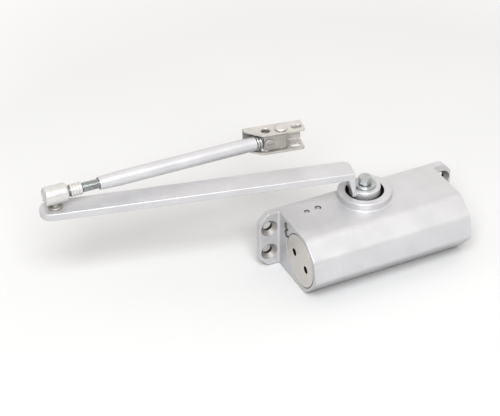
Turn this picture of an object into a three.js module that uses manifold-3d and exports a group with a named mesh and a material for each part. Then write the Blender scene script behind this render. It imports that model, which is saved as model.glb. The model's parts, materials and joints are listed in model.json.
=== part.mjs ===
// Surface-mounted rack-and-pinion door closer with its folding arm.
// Millimetres. Origin: centre of the four-screw pattern on the face that lies on the door.
// +X along the housing, away from the valve end; +Y into the door; +Z up, along the pinion.
import * as THREE from 'three';
import { mergeVertices } from 'three/addons/utils/BufferGeometryUtils.js';
import Module from 'manifold-3d';

const wasm = await Module();
wasm.setup();

// ---------------------------------------------------------------- driving sizes
const GAP = 0.3;                        // clearance kept between neighbouring pieces

const BODY_LENGTH = 118;                // housing between its two end faces
const BODY_HEIGHT = 42;
const BODY_DEPTH = 57.4;                // from the door face to the front edge
const TOP_DEPTH = 41.5;                 // the flat top ends here
const BOTTOM_DEPTH = 43;                // the flat underside ends here
const SHOULDER = { depth: 54.3, z: 10.8 };   // edge between the top facet and the front facet
const FRONT_EDGE_Z = -4.8;              // edge between the front facet and the lower facet

const LUG_LENGTH = 14.5;
const LUG_THICKNESS = 5;
const LUG_CHAMFER = 6.5;
const HOLE_PITCH_X = 133;
const HOLE_PITCH_Z = 19;
const SCREW_HOLE_R = 3.2;
const COUNTERSINK_R = 6.2;

const BORE_Y = -34.5;                   // axis of the cylinder, along X at z = 0
const BORE_R = 16;
const CAP_R = 18.4;
const CAP_HEAD = 4;
const CAP_LENGTH = 9;
const SPANNER_HOLE_R = 2.6;
const SPANNER_REACH = 7.9;
const SPANNER_ANGLE = THREE.MathUtils.degToRad(-14);

const PINION_Y = -14;                   // pinion axis, along Z at x = 0
const MODULE_SIZE = 1.5;
const TEETH = 10;
const PITCH_R = MODULE_SIZE * TEETH / 2;
const PRESSURE_ANGLE = THREE.MathUtils.degToRad(25);
const ADDENDUM = 1.2;
const DEDENDUM = 1.55;
const BACKLASH = 0.15;                  // taken off each tooth's thickness
const TOOTH_PITCH = Math.PI * MODULE_SIZE;
const GEAR_HALF_WIDTH = 6;
const SHAFT_R = 5.6;
const CHAMBER_R = 9.3;                  // vertical bore that holds the pinion's bearings

const BOSS_R = 18.3;
const BOSS_TOP = 26.4;
const RECESS_R = 12.5;
const RECESS_FLOOR = 21.5;

const VALVE_R = 2;
const VALVE_LENGTH = 14;
const VALVE_PLACES = [
  { name: 'closing_speed_valve', y: -15, z: 15.2 },
  { name: 'latching_speed_valve', y: -15.3, z: 9.6 },
];
const PLUG_PLACES = [
  { name: 'oil_passage_plug_1', x: -42.8, y: -12.8, r: 1.3 },
  { name: 'oil_passage_plug_2', x: -34.2, y: -12.3, r: 1.7 },
];

const PISTON_R = BORE_R - GAP;
const PISTON_START = -44;
const PISTON_END = 9;
const RACK_START = -32;
const SPRING_WIRE_R = 1.5;
const SPRING_R = 11.5;
const SPRING_TURNS = 5.5;

const ARM_LENGTH = 206.2;               // pinion axis to elbow axis
const ARM_ANGLE = THREE.MathUtils.degToRad(167);
const ARM_TOP = 45.6;
const ARM_THICKNESS = 5.2;
const ARM_BOTTOM = ARM_TOP - ARM_THICKNESS;
const ARM_HALF_WIDTH = 8.2;
const ARM_OVERHANG = 2.2;               // centre of the arm's round end, past the elbow axis
const RISER = { footInner: 8.2, footOuter: 10.6, barInner: 9.4, barOuter: 13.4 };
const ARM_CORNER_R = 6;                 // corner of the bar over the hub
const HUB_R = 10.9;
const HUB_BOTTOM = 24.2;
const HUB_TOP = 30;
const SQUARE = 8.2;                     // side of the spindle's square end

const KNUCKLE_Z = 55.2;                 // height of the fore arm's axis
const KNUCKLE_R = 6.3;
const KNUCKLE_END = 8.3;
const BALL_R = 4.2;
const STUD_R = 3.9;                     // where the stud fills the arm's hole
const STUD_NECK_R = 2.6;
const STUD_HEAD_R = 5.6;
const LOCKNUT_R = 4.2;
const LOCKNUT_START = 10.2;
const LOCKNUT_END = 18;
const ROD_R = 3.3;
const SOCKET_R = BALL_R + GAP;
const TUBE_START = 30;
const TUBE_R = 4.85;
const TUBE_START_R = 4.35;
const TUBE_TAPER = 14;                  // length over which the tube widens
const TUBE_END = 140.5;
const FOREARM_REACH = 145.2;            // elbow axis to the knee where the tongue enters the block
const FOREARM_ANGLE = THREE.MathUtils.degToRad(-1.4);

const SHOE_ANGLE = THREE.MathUtils.degToRad(-10);
const BLOCK_REACH = 13.5;               // knee to the shoe's rivet
const SHOE_HALF_HEIGHT = 8;
const SHEET = 1.6;                      // thickness of the bracket's steel
const WEB_Y = 6.8;                      // inner face of the bracket's web, from the rivet
const SHOE_START = -24.4;
const SHOE_END = 15.8;
const FLANGE_FRONT = -4.8;
const OBLONG = { from: 9.2, to: 11.8, r: 2.3 };
const ROUND_HOLE = { u: -10.6, v: 0.4, r: 3 };
const PIVOT_SCREW_U = -9.2;             // pivot screw, measured from the rivet along the block

const SILVER_PAINT = { color: 0xc9c9cd, roughness: 0.38, metalness: 0.35 };
const ZINC = { color: 0xc3ccce, roughness: 0.3, metalness: 0.85 };
const STEEL = { color: 0x9d9a94, roughness: 0.42, metalness: 0.8 };
const PALE_METAL = { color: 0xd9d8d4, roughness: 0.32, metalness: 0.6 };
const RUBBER = { color: 0x1b1b1c, roughness: 0.8, metalness: 0 };
const BRONZE = { color: 0xa8834a, roughness: 0.45, metalness: 0.7 };

// ---------------------------------------------------------------- solids
// A closed three.js geometry as a solid with its faces pointing out.
function solid(geometry) {
  const bare = geometry.clone();
  bare.deleteAttribute('normal');
  bare.deleteAttribute('uv');
  const merged = mergeVertices(bare, 1e-4);
  const position = merged.attributes.position;
  const index = merged.index.array;
  const corner = [new THREE.Vector3(), new THREE.Vector3(), new THREE.Vector3()];
  const triangles = [];
  let volume = 0;
  for (let i = 0; i < index.length; i += 3) {
    const [a, b, c] = [index[i], index[i + 1], index[i + 2]];
    if (a === b || b === c || c === a) continue;
    corner.forEach((point, k) => point.fromBufferAttribute(position, index[i + k]));
    volume += corner[0].dot(corner[1].clone().cross(corner[2]));
    triangles.push(a, b, c);
  }
  if (volume < 0) triangles.reverse();
  return new wasm.Manifold(new wasm.Mesh({
    numProp: 3,
    vertProperties: new Float32Array(position.array),
    triVerts: new Uint32Array(triangles),
  }));
}

function geometryOf(body) {
  const mesh = body.getMesh();
  const geometry = new THREE.BufferGeometry();
  geometry.setAttribute('position', new THREE.BufferAttribute(new Float32Array(mesh.vertProperties), 3));
  geometry.setIndex(new THREE.BufferAttribute(new Uint32Array(mesh.triVerts), 1));
  geometry.computeVertexNormals();
  return geometry;
}

// A round bar or frustum from one place to another along an axis, centred on the other two places.
function bar(axis, radius, from, to, centre = [0, 0], segments = 24, endRadius = radius) {
  const geometry = new THREE.CylinderGeometry(endRadius, radius, to - from, segments);
  const middle = (from + to) / 2;
  if (axis === 'x') {
    geometry.rotateZ(-Math.PI / 2);
    geometry.translate(middle, centre[0], centre[1]);
  } else if (axis === 'y') {
    geometry.translate(centre[0], middle, centre[1]);
  } else {
    geometry.rotateX(Math.PI / 2);
    geometry.translate(centre[0], centre[1], middle);
  }
  return solid(geometry);
}

function box(low, high) {
  const geometry = new THREE.BoxGeometry(high[0] - low[0], high[1] - low[1], high[2] - low[2]);
  geometry.translate((low[0] + high[0]) / 2, (low[1] + high[1]) / 2, (low[2] + high[2]) / 2);
  return solid(geometry);
}

function ring(axis, outer, inner, from, to, centre, segments = 24) {
  return bar(axis, outer, from, to, centre, segments)
    .subtract(bar(axis, inner, from - 1, to + 1, centre, segments));
}

// An outline of corners [a, b, radius], with the corners rounded by their radius.
function outline(corners) {
  const shape = new THREE.Shape();
  const count = corners.length;
  corners.forEach(([a, b, radius = 0], k) => {
    const here = new THREE.Vector2(a, b);
    const before = new THREE.Vector2(...corners[(k + count - 1) % count].slice(0, 2));
    const after = new THREE.Vector2(...corners[(k + 1) % count].slice(0, 2));
    const inward = before.sub(here).setLength(radius).add(here);
    const onward = after.sub(here).setLength(radius).add(here);
    if (k === 0) shape.moveTo(inward.x, inward.y);
    else shape.lineTo(inward.x, inward.y);
    if (radius > 0) shape.quadraticCurveTo(a, b, onward.x, onward.y);
  });
  shape.closePath();
  return shape;
}

// A shape drawn in the plane (a, b) and extruded along the third axis, starting at `from`.
const PLANES = {
  x: [new THREE.Vector3(0, 1, 0), new THREE.Vector3(0, 0, 1), new THREE.Vector3(1, 0, 0)],
  y: [new THREE.Vector3(0, 0, 1), new THREE.Vector3(1, 0, 0), new THREE.Vector3(0, 1, 0)],
  z: [new THREE.Vector3(1, 0, 0), new THREE.Vector3(0, 1, 0), new THREE.Vector3(0, 0, 1)],
};

function prism(axis, shape, from, to, curveSegments = 4) {
  const geometry = new THREE.ExtrudeGeometry(shape, { depth: to - from, bevelEnabled: false, curveSegments });
  geometry.applyMatrix4(new THREE.Matrix4().makeBasis(...PLANES[axis]));
  geometry.translate(...PLANES[axis][2].clone().multiplyScalar(from).toArray());
  return solid(geometry);
}

// A body of revolution. The profile is a closed list of [radius, place along the axis].
function turned(axis, profile, centre = [0, 0], segments = 24) {
  const points = [...profile, profile[0]].map(([radius, place]) => new THREE.Vector2(radius, place));
  const geometry = new THREE.LatheGeometry(points, segments);
  if (axis === 'x') {
    geometry.rotateZ(-Math.PI / 2);
    geometry.translate(0, centre[0], centre[1]);
  } else {
    geometry.rotateX(Math.PI / 2);
    geometry.translate(centre[0], centre[1], 0);
  }
  return solid(geometry);
}

function oRing(axis, meanRadius, wireRadius, place, centre) {
  const geometry = new THREE.TorusGeometry(meanRadius, wireRadius, 6, 28);
  if (axis === 'x') {
    geometry.rotateY(Math.PI / 2);
    geometry.translate(place, centre[0], centre[1]);
  } else {
    geometry.translate(centre[0], centre[1], place);
  }
  return solid(geometry);
}

const closer = new THREE.Group();
const mainArmFrame = new THREE.Group();
mainArmFrame.position.set(0, PINION_Y, 0);
mainArmFrame.rotation.z = ARM_ANGLE;
closer.add(mainArmFrame);

const elbow = new THREE.Vector2(ARM_LENGTH, 0).rotateAround(new THREE.Vector2(), ARM_ANGLE);
elbow.y += PINION_Y;
const foreArmFrame = new THREE.Group();
foreArmFrame.position.set(elbow.x, elbow.y, KNUCKLE_Z);
foreArmFrame.rotation.z = FOREARM_ANGLE;
closer.add(foreArmFrame);

const rivetPlace = new THREE.Vector2(FOREARM_REACH, 0).rotateAround(new THREE.Vector2(), FOREARM_ANGLE)
  .add(new THREE.Vector2(BLOCK_REACH, 0).rotateAround(new THREE.Vector2(), SHOE_ANGLE))
  .add(elbow);
const shoeFrame = new THREE.Group();
shoeFrame.position.set(rivetPlace.x, rivetPlace.y, KNUCKLE_Z);
shoeFrame.rotation.z = SHOE_ANGLE;
closer.add(shoeFrame);

function place(name, body, finish, frame = closer) {
  const mesh = new THREE.Mesh(geometryOf(body), new THREE.MeshStandardMaterial(finish));
  mesh.name = name;
  frame.add(mesh);
}

// ---------------------------------------------------------------- housing
// One casting: faceted barrel, two screw lugs, and the collar round the pinion.
function housing() {
  const top = BODY_HEIGHT / 2;
  const end = BODY_LENGTH / 2;
  const section = outline([
    [0, -top, 0.6], [0, top, 0.6], [-TOP_DEPTH, top, 2.2], [-SHOULDER.depth, SHOULDER.z, 2.2],
    [-BODY_DEPTH, FRONT_EDGE_Z, 2.2], [-BOTTOM_DEPTH, -top, 2.2],
  ]);
  let body = prism('x', section, -end, end, 3);

  const lugEnd = end + LUG_LENGTH;
  const lugPlate = outline([
    [-top, -lugEnd + LUG_CHAMFER, 1], [-top + LUG_CHAMFER, -lugEnd, 1],
    [top - LUG_CHAMFER, -lugEnd, 1], [top, -lugEnd + LUG_CHAMFER, 1],
    [top, lugEnd - LUG_CHAMFER, 1], [top - LUG_CHAMFER, lugEnd, 1],
    [-top + LUG_CHAMFER, lugEnd, 1], [-top, lugEnd - LUG_CHAMFER, 1],
  ]);
  body = body.add(prism('y', lugPlate, -LUG_THICKNESS, 0, 2));

  const behindDoorFace = box([-40, 0, -40], [40, 40, 40]);
  const collar = bar('z', BOSS_R, top - 2, BOSS_TOP, [0, PINION_Y], 64).subtract(behindDoorFace);
  body = body.add(collar);

  body = body.subtract(bar('x', BORE_R, -end - 1, end + 1, [BORE_Y, 0], 48));
  for (const side of [-1, 1]) {
    const [from, to] = [side * (end - CAP_HEAD - GAP), side * (end + 1)].sort((a, b) => a - b);
    body = body.subtract(bar('x', CAP_R + GAP, from, to, [BORE_Y, 0], 48));
    for (const level of [-1, 1]) {
      const centre = [side * HOLE_PITCH_X / 2, level * HOLE_PITCH_Z / 2];
      const sinkDepth = COUNTERSINK_R - SCREW_HOLE_R;
      const front = -LUG_THICKNESS;
      body = body.subtract(bar('y', SCREW_HOLE_R, front - 1, 1, centre, 24));
      body = body.subtract(bar('y', COUNTERSINK_R + 1, front - 1, front + sinkDepth, centre, 24, SCREW_HOLE_R));
    }
  }
  body = body.subtract(bar('z', CHAMBER_R, -top - 1, RECESS_FLOOR + 1, [0, PINION_Y], 40));
  body = body.subtract(bar('z', RECESS_R, RECESS_FLOOR, BOSS_TOP + 1, [0, PINION_Y], 48));
  for (const valve of VALVE_PLACES) {
    body = body.subtract(
      bar('x', VALVE_R + GAP, -end - 1, -end + VALVE_LENGTH + 0.6, [valve.y, valve.z], 16));
  }
  for (const plug of PLUG_PLACES) {
    body = body.subtract(bar('z', plug.r + GAP, top - 4, top + 1, [plug.x, plug.y], 12));
  }
  return body;
}
place('housing', housing(), SILVER_PAINT);

// ---------------------------------------------------------------- cylinder ends
// Screwed end cap: flush head with two spanner holes, and a spigot with a seal groove.
// It is drawn at the origin end with its head facing -X; `side` +1 turns it round.
function endCap(side) {
  const spigotR = BORE_R - GAP;
  const grooveR = spigotR - 2.2;
  const profile = [
    [0, 0], [CAP_R, 0], [CAP_R, CAP_HEAD], [spigotR, CAP_HEAD], [spigotR, 5.4], [grooveR, 5.4],
    [grooveR, 7.8], [spigotR, 7.8], [spigotR, CAP_LENGTH], [0, CAP_LENGTH],
  ];
  const outward = profile.map(([radius, depth]) => [radius, side * (BODY_LENGTH / 2 - depth)]);
  let cap = turned('x', outward, [BORE_Y, 0], 48);
  const face = side * BODY_LENGTH / 2;
  const [from, to] = [face - side * 3, face + side].sort((a, b) => a - b);
  for (const turn of [0, Math.PI]) {
    const angle = SPANNER_ANGLE + turn;
    const centre = [BORE_Y - SPANNER_REACH * Math.cos(angle), SPANNER_REACH * Math.sin(angle)];
    cap = cap.subtract(bar('x', SPANNER_HOLE_R, from, to, centre, 16));
  }
  return cap;
}
for (const [side, word] of [[-1, 'left'], [1, 'right']]) {
  place(`end_cap_${word}`, endCap(side), SILVER_PAINT);
  place(`end_cap_seal_${word}`,
    oRing('x', BORE_R - 1.25, 0.85, side * (BODY_LENGTH / 2 - 6.6), [BORE_Y, 0]), RUBBER);
}

// ---------------------------------------------------------------- valves and plugs
for (const valve of VALVE_PLACES) {
  const face = -BODY_LENGTH / 2;
  const slot = box([face - 1, valve.y - 0.4, valve.z - 3], [face + 1, valve.y + 0.4, valve.z + 3]);
  const screw = turned('x', [
    [0, face], [VALVE_R, face], [VALVE_R, face + 10], [1.2, face + 10.6],
    [1.2, face + 12], [0, face + VALVE_LENGTH],
  ], [valve.y, valve.z], 16);
  place(valve.name, screw.subtract(slot), ZINC);
}
for (const plug of PLUG_PLACES) {
  place(plug.name, bar('z', plug.r, BODY_HEIGHT / 2 - 3.7, BODY_HEIGHT / 2, [plug.x, plug.y], 12), STEEL);
}

// ---------------------------------------------------------------- pinion
// Involute tooth outline, with the middle of one tooth at angle `phase`.
function gearOutline(phase) {
  const baseR = PITCH_R * Math.cos(PRESSURE_ANGLE);
  const tipR = PITCH_R + ADDENDUM;
  const rootR = PITCH_R - DEDENDUM;
  const involute = (radius) => {
    const slope = Math.acos(baseR / radius);
    return Math.tan(slope) - slope;
  };
  const halfAtPitch = (TOOTH_PITCH / 2 - BACKLASH) / 2 / PITCH_R;
  const halfAt = (radius) => halfAtPitch + involute(PITCH_R) - involute(Math.max(radius, baseR));
  const flank = [rootR, baseR, (baseR + PITCH_R) / 2, PITCH_R, (PITCH_R + tipR) / 2, tipR];
  const shape = new THREE.Shape();
  for (let tooth = 0; tooth < TEETH; tooth += 1) {
    const middle = phase + tooth * 2 * Math.PI / TEETH;
    const rising = flank.map((radius) => [radius, middle - halfAt(radius)]);
    const falling = flank.slice().reverse().map((radius) => [radius, middle + halfAt(radius)]);
    [...rising, ...falling].forEach(([radius, angle], k) => {
      const [x, y] = [radius * Math.cos(angle), radius * Math.sin(angle)];
      if (tooth === 0 && k === 0) shape.moveTo(x, y);
      else shape.lineTo(x, y);
    });
  }
  shape.closePath();
  return shape;
}

const BEARING_START = 11.6;
const BEARING_END = 15;
const SEAL_END = 17.6;
const SCREW_R = 2.7;
function spindle() {
  const towardsRack = -Math.PI / 2 - ARM_ANGLE;
  const shaft = bar('z', SHAFT_R, -SEAL_END, RECESS_FLOOR, [0, 0], 24);
  const gear = prism('z', gearOutline(towardsRack), -GEAR_HALF_WIDTH, GEAR_HALF_WIDTH);
  const square = box([-SQUARE / 2, -SQUARE / 2, RECESS_FLOOR - 1], [SQUARE / 2, SQUARE / 2, HUB_TOP - 0.4]);
  const corners = bar('z', SHAFT_R - 0.2, RECESS_FLOOR - 1, HUB_TOP, [0, 0], 24);
  return shaft.add(gear).add(square.intersect(corners))
    .subtract(bar('z', SCREW_R + GAP, 15, HUB_TOP, [0, 0], 16));
}
place('pinion_spindle', spindle(), STEEL, mainArmFrame);

const sleeveR = CHAMBER_R - GAP;
const pinionCentre = [0, PINION_Y];
for (const [side, word] of [[-1, 'lower'], [1, 'upper']]) {
  const [bearingFrom, bearingTo] = [side * BEARING_START, side * BEARING_END].sort((a, b) => a - b);
  place(`${word}_bearing`,
    ring('z', sleeveR, SHAFT_R + GAP, bearingFrom, bearingTo, pinionCentre), BRONZE);
  const [sealFrom, sealTo] = [side * (BEARING_END + GAP), side * SEAL_END].sort((a, b) => a - b);
  place(`${word}_spindle_seal`, ring('z', sleeveR, SHAFT_R + GAP, sealFrom, sealTo, pinionCentre), RUBBER);
}
const glandNut = ring('z', sleeveR, SHAFT_R + GAP, SEAL_END + GAP, 21.2, pinionCentre)
  .subtract(box([-1.2, PINION_Y - 12, 19.8], [1.2, PINION_Y + 12, 22]));
place('upper_gland_nut', glandNut, STEEL);
const bottomPlug = bar('z', sleeveR, -BODY_HEIGHT / 2, -SEAL_END - GAP, pinionCentre)
  .subtract(bar('z', 3.2, -22, -19, pinionCentre, 6));
place('bottom_plug', bottomPlug, STEEL);

// ---------------------------------------------------------------- piston and spring
function piston() {
  const pitchLine = PINION_Y - PITCH_R;
  const tipLine = pitchLine + ADDENDUM;
  const rootLine = pitchLine - DEDENDUM;
  let body = bar('x', PISTON_R, PISTON_START, PISTON_END, [BORE_Y, 0], 48)
    .add(bar('x', 8.5, PISTON_END - 1, PISTON_END + 5, [BORE_Y, 0], 24))
    .subtract(box([RACK_START, tipLine, -20], [PISTON_END + 1, 0, 20]));
  // The pinion's tooth that faces the rack at rest sits in the gap at x = 0.
  const halfGap = (TOOTH_PITCH / 2 + BACKLASH) / 2;
  const lean = Math.tan(PRESSURE_ANGLE);
  const above = tipLine + 1;
  for (let n = -6; n <= 1; n += 1) {
    const middle = n * TOOTH_PITCH;
    const wide = halfGap + (above - pitchLine) * lean;
    const narrow = halfGap - (pitchLine - rootLine) * lean;
    const space = outline([
      [middle - wide, above], [middle - narrow, rootLine], [middle + narrow, rootLine], [middle + wide, above],
    ]);
    body = body.subtract(prism('z', space, -18, 18));
  }
  return body
    .subtract(bar('x', 5.3, PISTON_START - 1, PISTON_START + 13, [BORE_Y, 0], 24))
    .subtract(bar('x', 2, PISTON_START, PISTON_END + 6, [BORE_Y, 0], 16));
}
place('piston', piston(), STEEL);
place('check_valve_seat',
  ring('x', 5, 1.6, PISTON_START, PISTON_START + 5, [BORE_Y, 0], 24), BRONZE);
const ball = new THREE.SphereGeometry(2.8, 12, 8);
ball.translate(PISTON_START + 5 + GAP + 2.8, BORE_Y, 0);
place('check_valve_ball', solid(ball), STEEL);

class Helix extends THREE.Curve {
  constructor(from, to) {
    super();
    this.from = from;
    this.to = to;
  }

  getPoint(t, target = new THREE.Vector3()) {
    const angle = t * SPRING_TURNS * 2 * Math.PI;
    return target.set(
      this.from + (this.to - this.from) * t,
      BORE_Y + SPRING_R * Math.cos(angle),
      SPRING_R * Math.sin(angle));
  }
}
const springStart = PISTON_END + GAP + SPRING_WIRE_R;
const springEnd = BODY_LENGTH / 2 - CAP_LENGTH - GAP - SPRING_WIRE_R;
const wire = new THREE.Shape().absarc(0, 0, SPRING_WIRE_R, 0, 2 * Math.PI);
place('closing_spring', solid(new THREE.ExtrudeGeometry(wire, {
  steps: 60, extrudePath: new Helix(springStart, springEnd), bevelEnabled: false, curveSegments: 4,
})), STEEL);

// ---------------------------------------------------------------- main arm
// Cranked forging: hub down in the collar, riser, and a flat bar out to the elbow.
function mainArm() {
  const riserBottom = BOSS_TOP + 0.5;
  const endX = ARM_LENGTH + ARM_OVERHANG;
  const beyond = endX + 2 * ARM_HALF_WIDTH;
  const side = outline([
    [riserBottom, 0], [HUB_TOP, 0], [HUB_TOP, RISER.footInner, 0.8], [ARM_TOP, RISER.barInner, 1.2],
    [ARM_TOP, beyond], [ARM_BOTTOM, beyond], [ARM_BOTTOM, RISER.barOuter, 2], [riserBottom, RISER.footOuter, 1],
  ]);
  const sidePlate = prism('y', side, -12, 12);

  const plan = new THREE.Shape();
  plan.moveTo(0, -ARM_HALF_WIDTH);
  plan.lineTo(endX, -ARM_HALF_WIDTH);
  plan.absarc(endX, 0, ARM_HALF_WIDTH, -Math.PI / 2, Math.PI / 2);
  plan.lineTo(0, ARM_HALF_WIDTH);
  plan.closePath();
  const planPlate = prism('z', plan, 20, 50, 10);

  const cornerCentre = [RISER.barInner + ARM_CORNER_R, ARM_CORNER_R - ARM_HALF_WIDTH];
  const farEdge = box([0, -12, HUB_TOP + 1], [...cornerCentre, 50])
    .subtract(bar('z', ARM_CORNER_R + 0.1, 20, 60, cornerCentre, 32));
  const hub = bar('z', HUB_R, HUB_BOTTOM, HUB_TOP, [0, 0], 40);
  const socket = SQUARE / 2 + GAP;
  return sidePlate.intersect(planPlate).subtract(farEdge).add(hub)
    .subtract(box([-socket, -socket, 20], [socket, socket, 33]))
    .subtract(bar('z', STUD_R + GAP, 30, 60, [ARM_LENGTH, 0], 24));
}
place('main_arm', mainArm(), SILVER_PAINT, mainArmFrame);

const WASHER_TOP = HUB_TOP + GAP + 1.4;
place('arm_washer', ring('z', 7.4, SCREW_R + GAP, HUB_TOP + GAP, WASHER_TOP, [0, 0]), ZINC, mainArmFrame);
const headBottom = WASHER_TOP + GAP;
const armScrew = bar('z', 4.5, headBottom, headBottom + 5, [0, 0], 6)
  .add(bar('z', SCREW_R, 16, headBottom + 1, [0, 0], 16));
place('arm_screw', armScrew, ZINC, mainArmFrame);

const studHeadTop = ARM_BOTTOM - GAP;
const studFlange = ARM_TOP + GAP;
const stud = turned('z', [
  [0, studHeadTop - 1.4], [4.6, studHeadTop - 1.4], [STUD_HEAD_R, studHeadTop - 0.7],
  [STUD_HEAD_R, studHeadTop], [STUD_R, studHeadTop], [STUD_R, studFlange],
  [4.8, studFlange], [4.8, studFlange + 1.2], [STUD_NECK_R, studFlange + 1.7], [STUD_NECK_R, KNUCKLE_Z - 3.2],
  [3.3, KNUCKLE_Z - 2.6], [BALL_R, KNUCKLE_Z], [3.3, KNUCKLE_Z + 2.6], [0, KNUCKLE_Z + BALL_R],
], [ARM_LENGTH, 0], 24);
place('ball_stud', stud, STEEL, mainArmFrame);

// ---------------------------------------------------------------- elbow and fore arm
// In the fore arm's frame the elbow axis is the origin and the arm runs along +X.
const knuckle = turned('x', [
  [0, -7], [5.5, -7], [KNUCKLE_R, -6.2], [KNUCKLE_R, KNUCKLE_END - 1], [5.3, KNUCKLE_END], [0, KNUCKLE_END],
], [0, 0], 40)
  .subtract(bar('x', SOCKET_R, -8, SOCKET_R, [0, 0], 24))
  .subtract(box([-8, -3.1, -8], [3.1, 3.1, 0]))
  .subtract(bar('x', ROD_R + GAP, SOCKET_R - 1, 10, [0, 0], 24));
place('elbow_knuckle', knuckle, PALE_METAL, foreArmFrame);
place('knuckle_end_plug', bar('x', SOCKET_R - GAP, -7, -5, [0, 0], 24), STEEL, foreArmFrame);

const plainNut = ring('x', LOCKNUT_R, ROD_R + GAP, LOCKNUT_START, LOCKNUT_END, [0, 0], 24);
const grooves = [1, 2, 3].map((n) => LOCKNUT_START + n * (LOCKNUT_END - LOCKNUT_START) / 4)
  .map((at) => ring('x', LOCKNUT_R + 1, LOCKNUT_R - 0.3, at - 0.4, at + 0.4, [0, 0], 24));
const locknut = grooves.reduce((body, groove) => body.subtract(groove), plainNut);
place('rod_locknut', locknut, PALE_METAL, foreArmFrame);
place('threaded_rod', bar('x', ROD_R, SOCKET_R + GAP, 72, [0, 0], 24), ZINC, foreArmFrame);

const tube = turned('x', [
  [3.7, TUBE_START], [TUBE_START_R, TUBE_START], [TUBE_R, TUBE_START + TUBE_TAPER],
  [TUBE_R, TUBE_END], [3.9, TUBE_END], [3.9, TUBE_START + TUBE_TAPER],
], [0, 0], 24);
place('fore_arm_tube', tube, SILVER_PAINT, foreArmFrame);

// Tongue fitting: spigot in the tube, two rings, and a flat tongue bent to the shoe's line.
const bend = new THREE.Vector2(1, 0).rotateAround(new THREE.Vector2(), SHOE_ANGLE - FOREARM_ANGLE);
const TONGUE_HALF = 1.9;
const SCREW_PIN_R = 2;
const screwReach = BLOCK_REACH + PIVOT_SCREW_U;
function tongueFitting() {
  const spigot = bar('x', 3.6, TUBE_END - 22, TUBE_END + 2, [0, 0], 24);
  const rings = bar('x', 5.2, TUBE_END + GAP, TUBE_END + 1.5, [0, 0], 24)
    .add(bar('x', 4.3, TUBE_END + 1, TUBE_END + 3, [0, 0], 24))
    .add(bar('x', 5, TUBE_END + 2.3, TUBE_END + 3.7, [0, 0], 24));
  const knee = new THREE.Group();
  knee.position.set(FOREARM_REACH, 0, 0);
  knee.rotation.z = SHOE_ANGLE - FOREARM_ANGLE;
  knee.updateMatrix();
  const plate = new THREE.BoxGeometry(6 + screwReach, 2 * TONGUE_HALF, 6.4);
  plate.translate((screwReach - 6) / 2 + 1.6, 0, 0);
  const nose = new THREE.CylinderGeometry(3.2, 3.2, 2 * TONGUE_HALF, 24);
  nose.translate(screwReach, 0, 0);
  const eye = new THREE.CylinderGeometry(SCREW_PIN_R + GAP, SCREW_PIN_R + GAP, 8, 20);
  eye.translate(screwReach, 0, 0);
  for (const geometry of [plate, nose, eye]) geometry.applyMatrix4(knee.matrix);
  const cut = new THREE.BoxGeometry(8, 8, 8);
  cut.translate(screwReach + 4, 0, 0);
  cut.applyMatrix4(knee.matrix);
  return spigot.add(rings).add(solid(plate).subtract(solid(cut))).add(solid(nose)).subtract(solid(eye));
}
place('fore_arm_tongue', tongueFitting(), ZINC, foreArmFrame);

// ---------------------------------------------------------------- block and shoe
// In the shoe's frame the rivet is the origin, +X runs along the bracket and +Y is towards its web.
const BLOCK_HALF_DEPTH = 3.6;
const BLOCK_HALF_HEIGHT = 5.9;
const RIVET_R = 2.6;
function pivotBlock() {
  const plan = new THREE.Shape();
  plan.moveTo(-12.8, -BLOCK_HALF_DEPTH);
  plan.lineTo(2, -BLOCK_HALF_DEPTH);
  plan.quadraticCurveTo(4.6, -BLOCK_HALF_DEPTH, 4.6, 0);
  plan.quadraticCurveTo(4.6, BLOCK_HALF_DEPTH, 2, BLOCK_HALF_DEPTH);
  plan.lineTo(-12.8, BLOCK_HALF_DEPTH);
  plan.closePath();
  const slot = box([-14, -TONGUE_HALF - GAP, -7], [PIVOT_SCREW_U + 4.2, TONGUE_HALF + GAP, 7]);
  return prism('z', plan, -BLOCK_HALF_HEIGHT, BLOCK_HALF_HEIGHT, 5)
    .subtract(slot)
    .subtract(bar('z', RIVET_R + GAP, -8, 8, [0, 0], 20))
    .subtract(bar('y', SCREW_PIN_R + GAP, -6, 6, [PIVOT_SCREW_U, 0], 20));
}
place('pivot_block', pivotBlock(), STEEL, shoeFrame);

const screwHeadBack = -BLOCK_HALF_DEPTH - GAP;
const screwHeadFront = screwHeadBack - 1.2;
const screwPlace = [PIVOT_SCREW_U, 0];
const driverSlot = box(
  [PIVOT_SCREW_U - 4, screwHeadFront - 1, -0.45], [PIVOT_SCREW_U + 4, screwHeadFront + 0.6, 0.45]);
const pivotScrew = bar('y', SCREW_PIN_R, screwHeadBack - 0.5, BLOCK_HALF_DEPTH, screwPlace, 20)
  .add(bar('y', 3.2, screwHeadFront, screwHeadBack, screwPlace, 24, 3.6))
  .subtract(driverSlot);
place('pivot_screw', pivotScrew, ZINC, shoeFrame);

const headZ = SHOE_HALF_HEIGHT + GAP;
const rivet = turned('z', [
  [0, -headZ - 0.5], [3.4, -headZ - 0.5], [3.8, -headZ], [RIVET_R, -headZ], [RIVET_R, headZ],
  [4.4, headZ], [4.2, headZ + 0.8], [2.6, headZ + 1.5], [0, headZ + 1.7],
], [0, 0], 24);
place('shoe_rivet', rivet, ZINC, shoeFrame);

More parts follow.
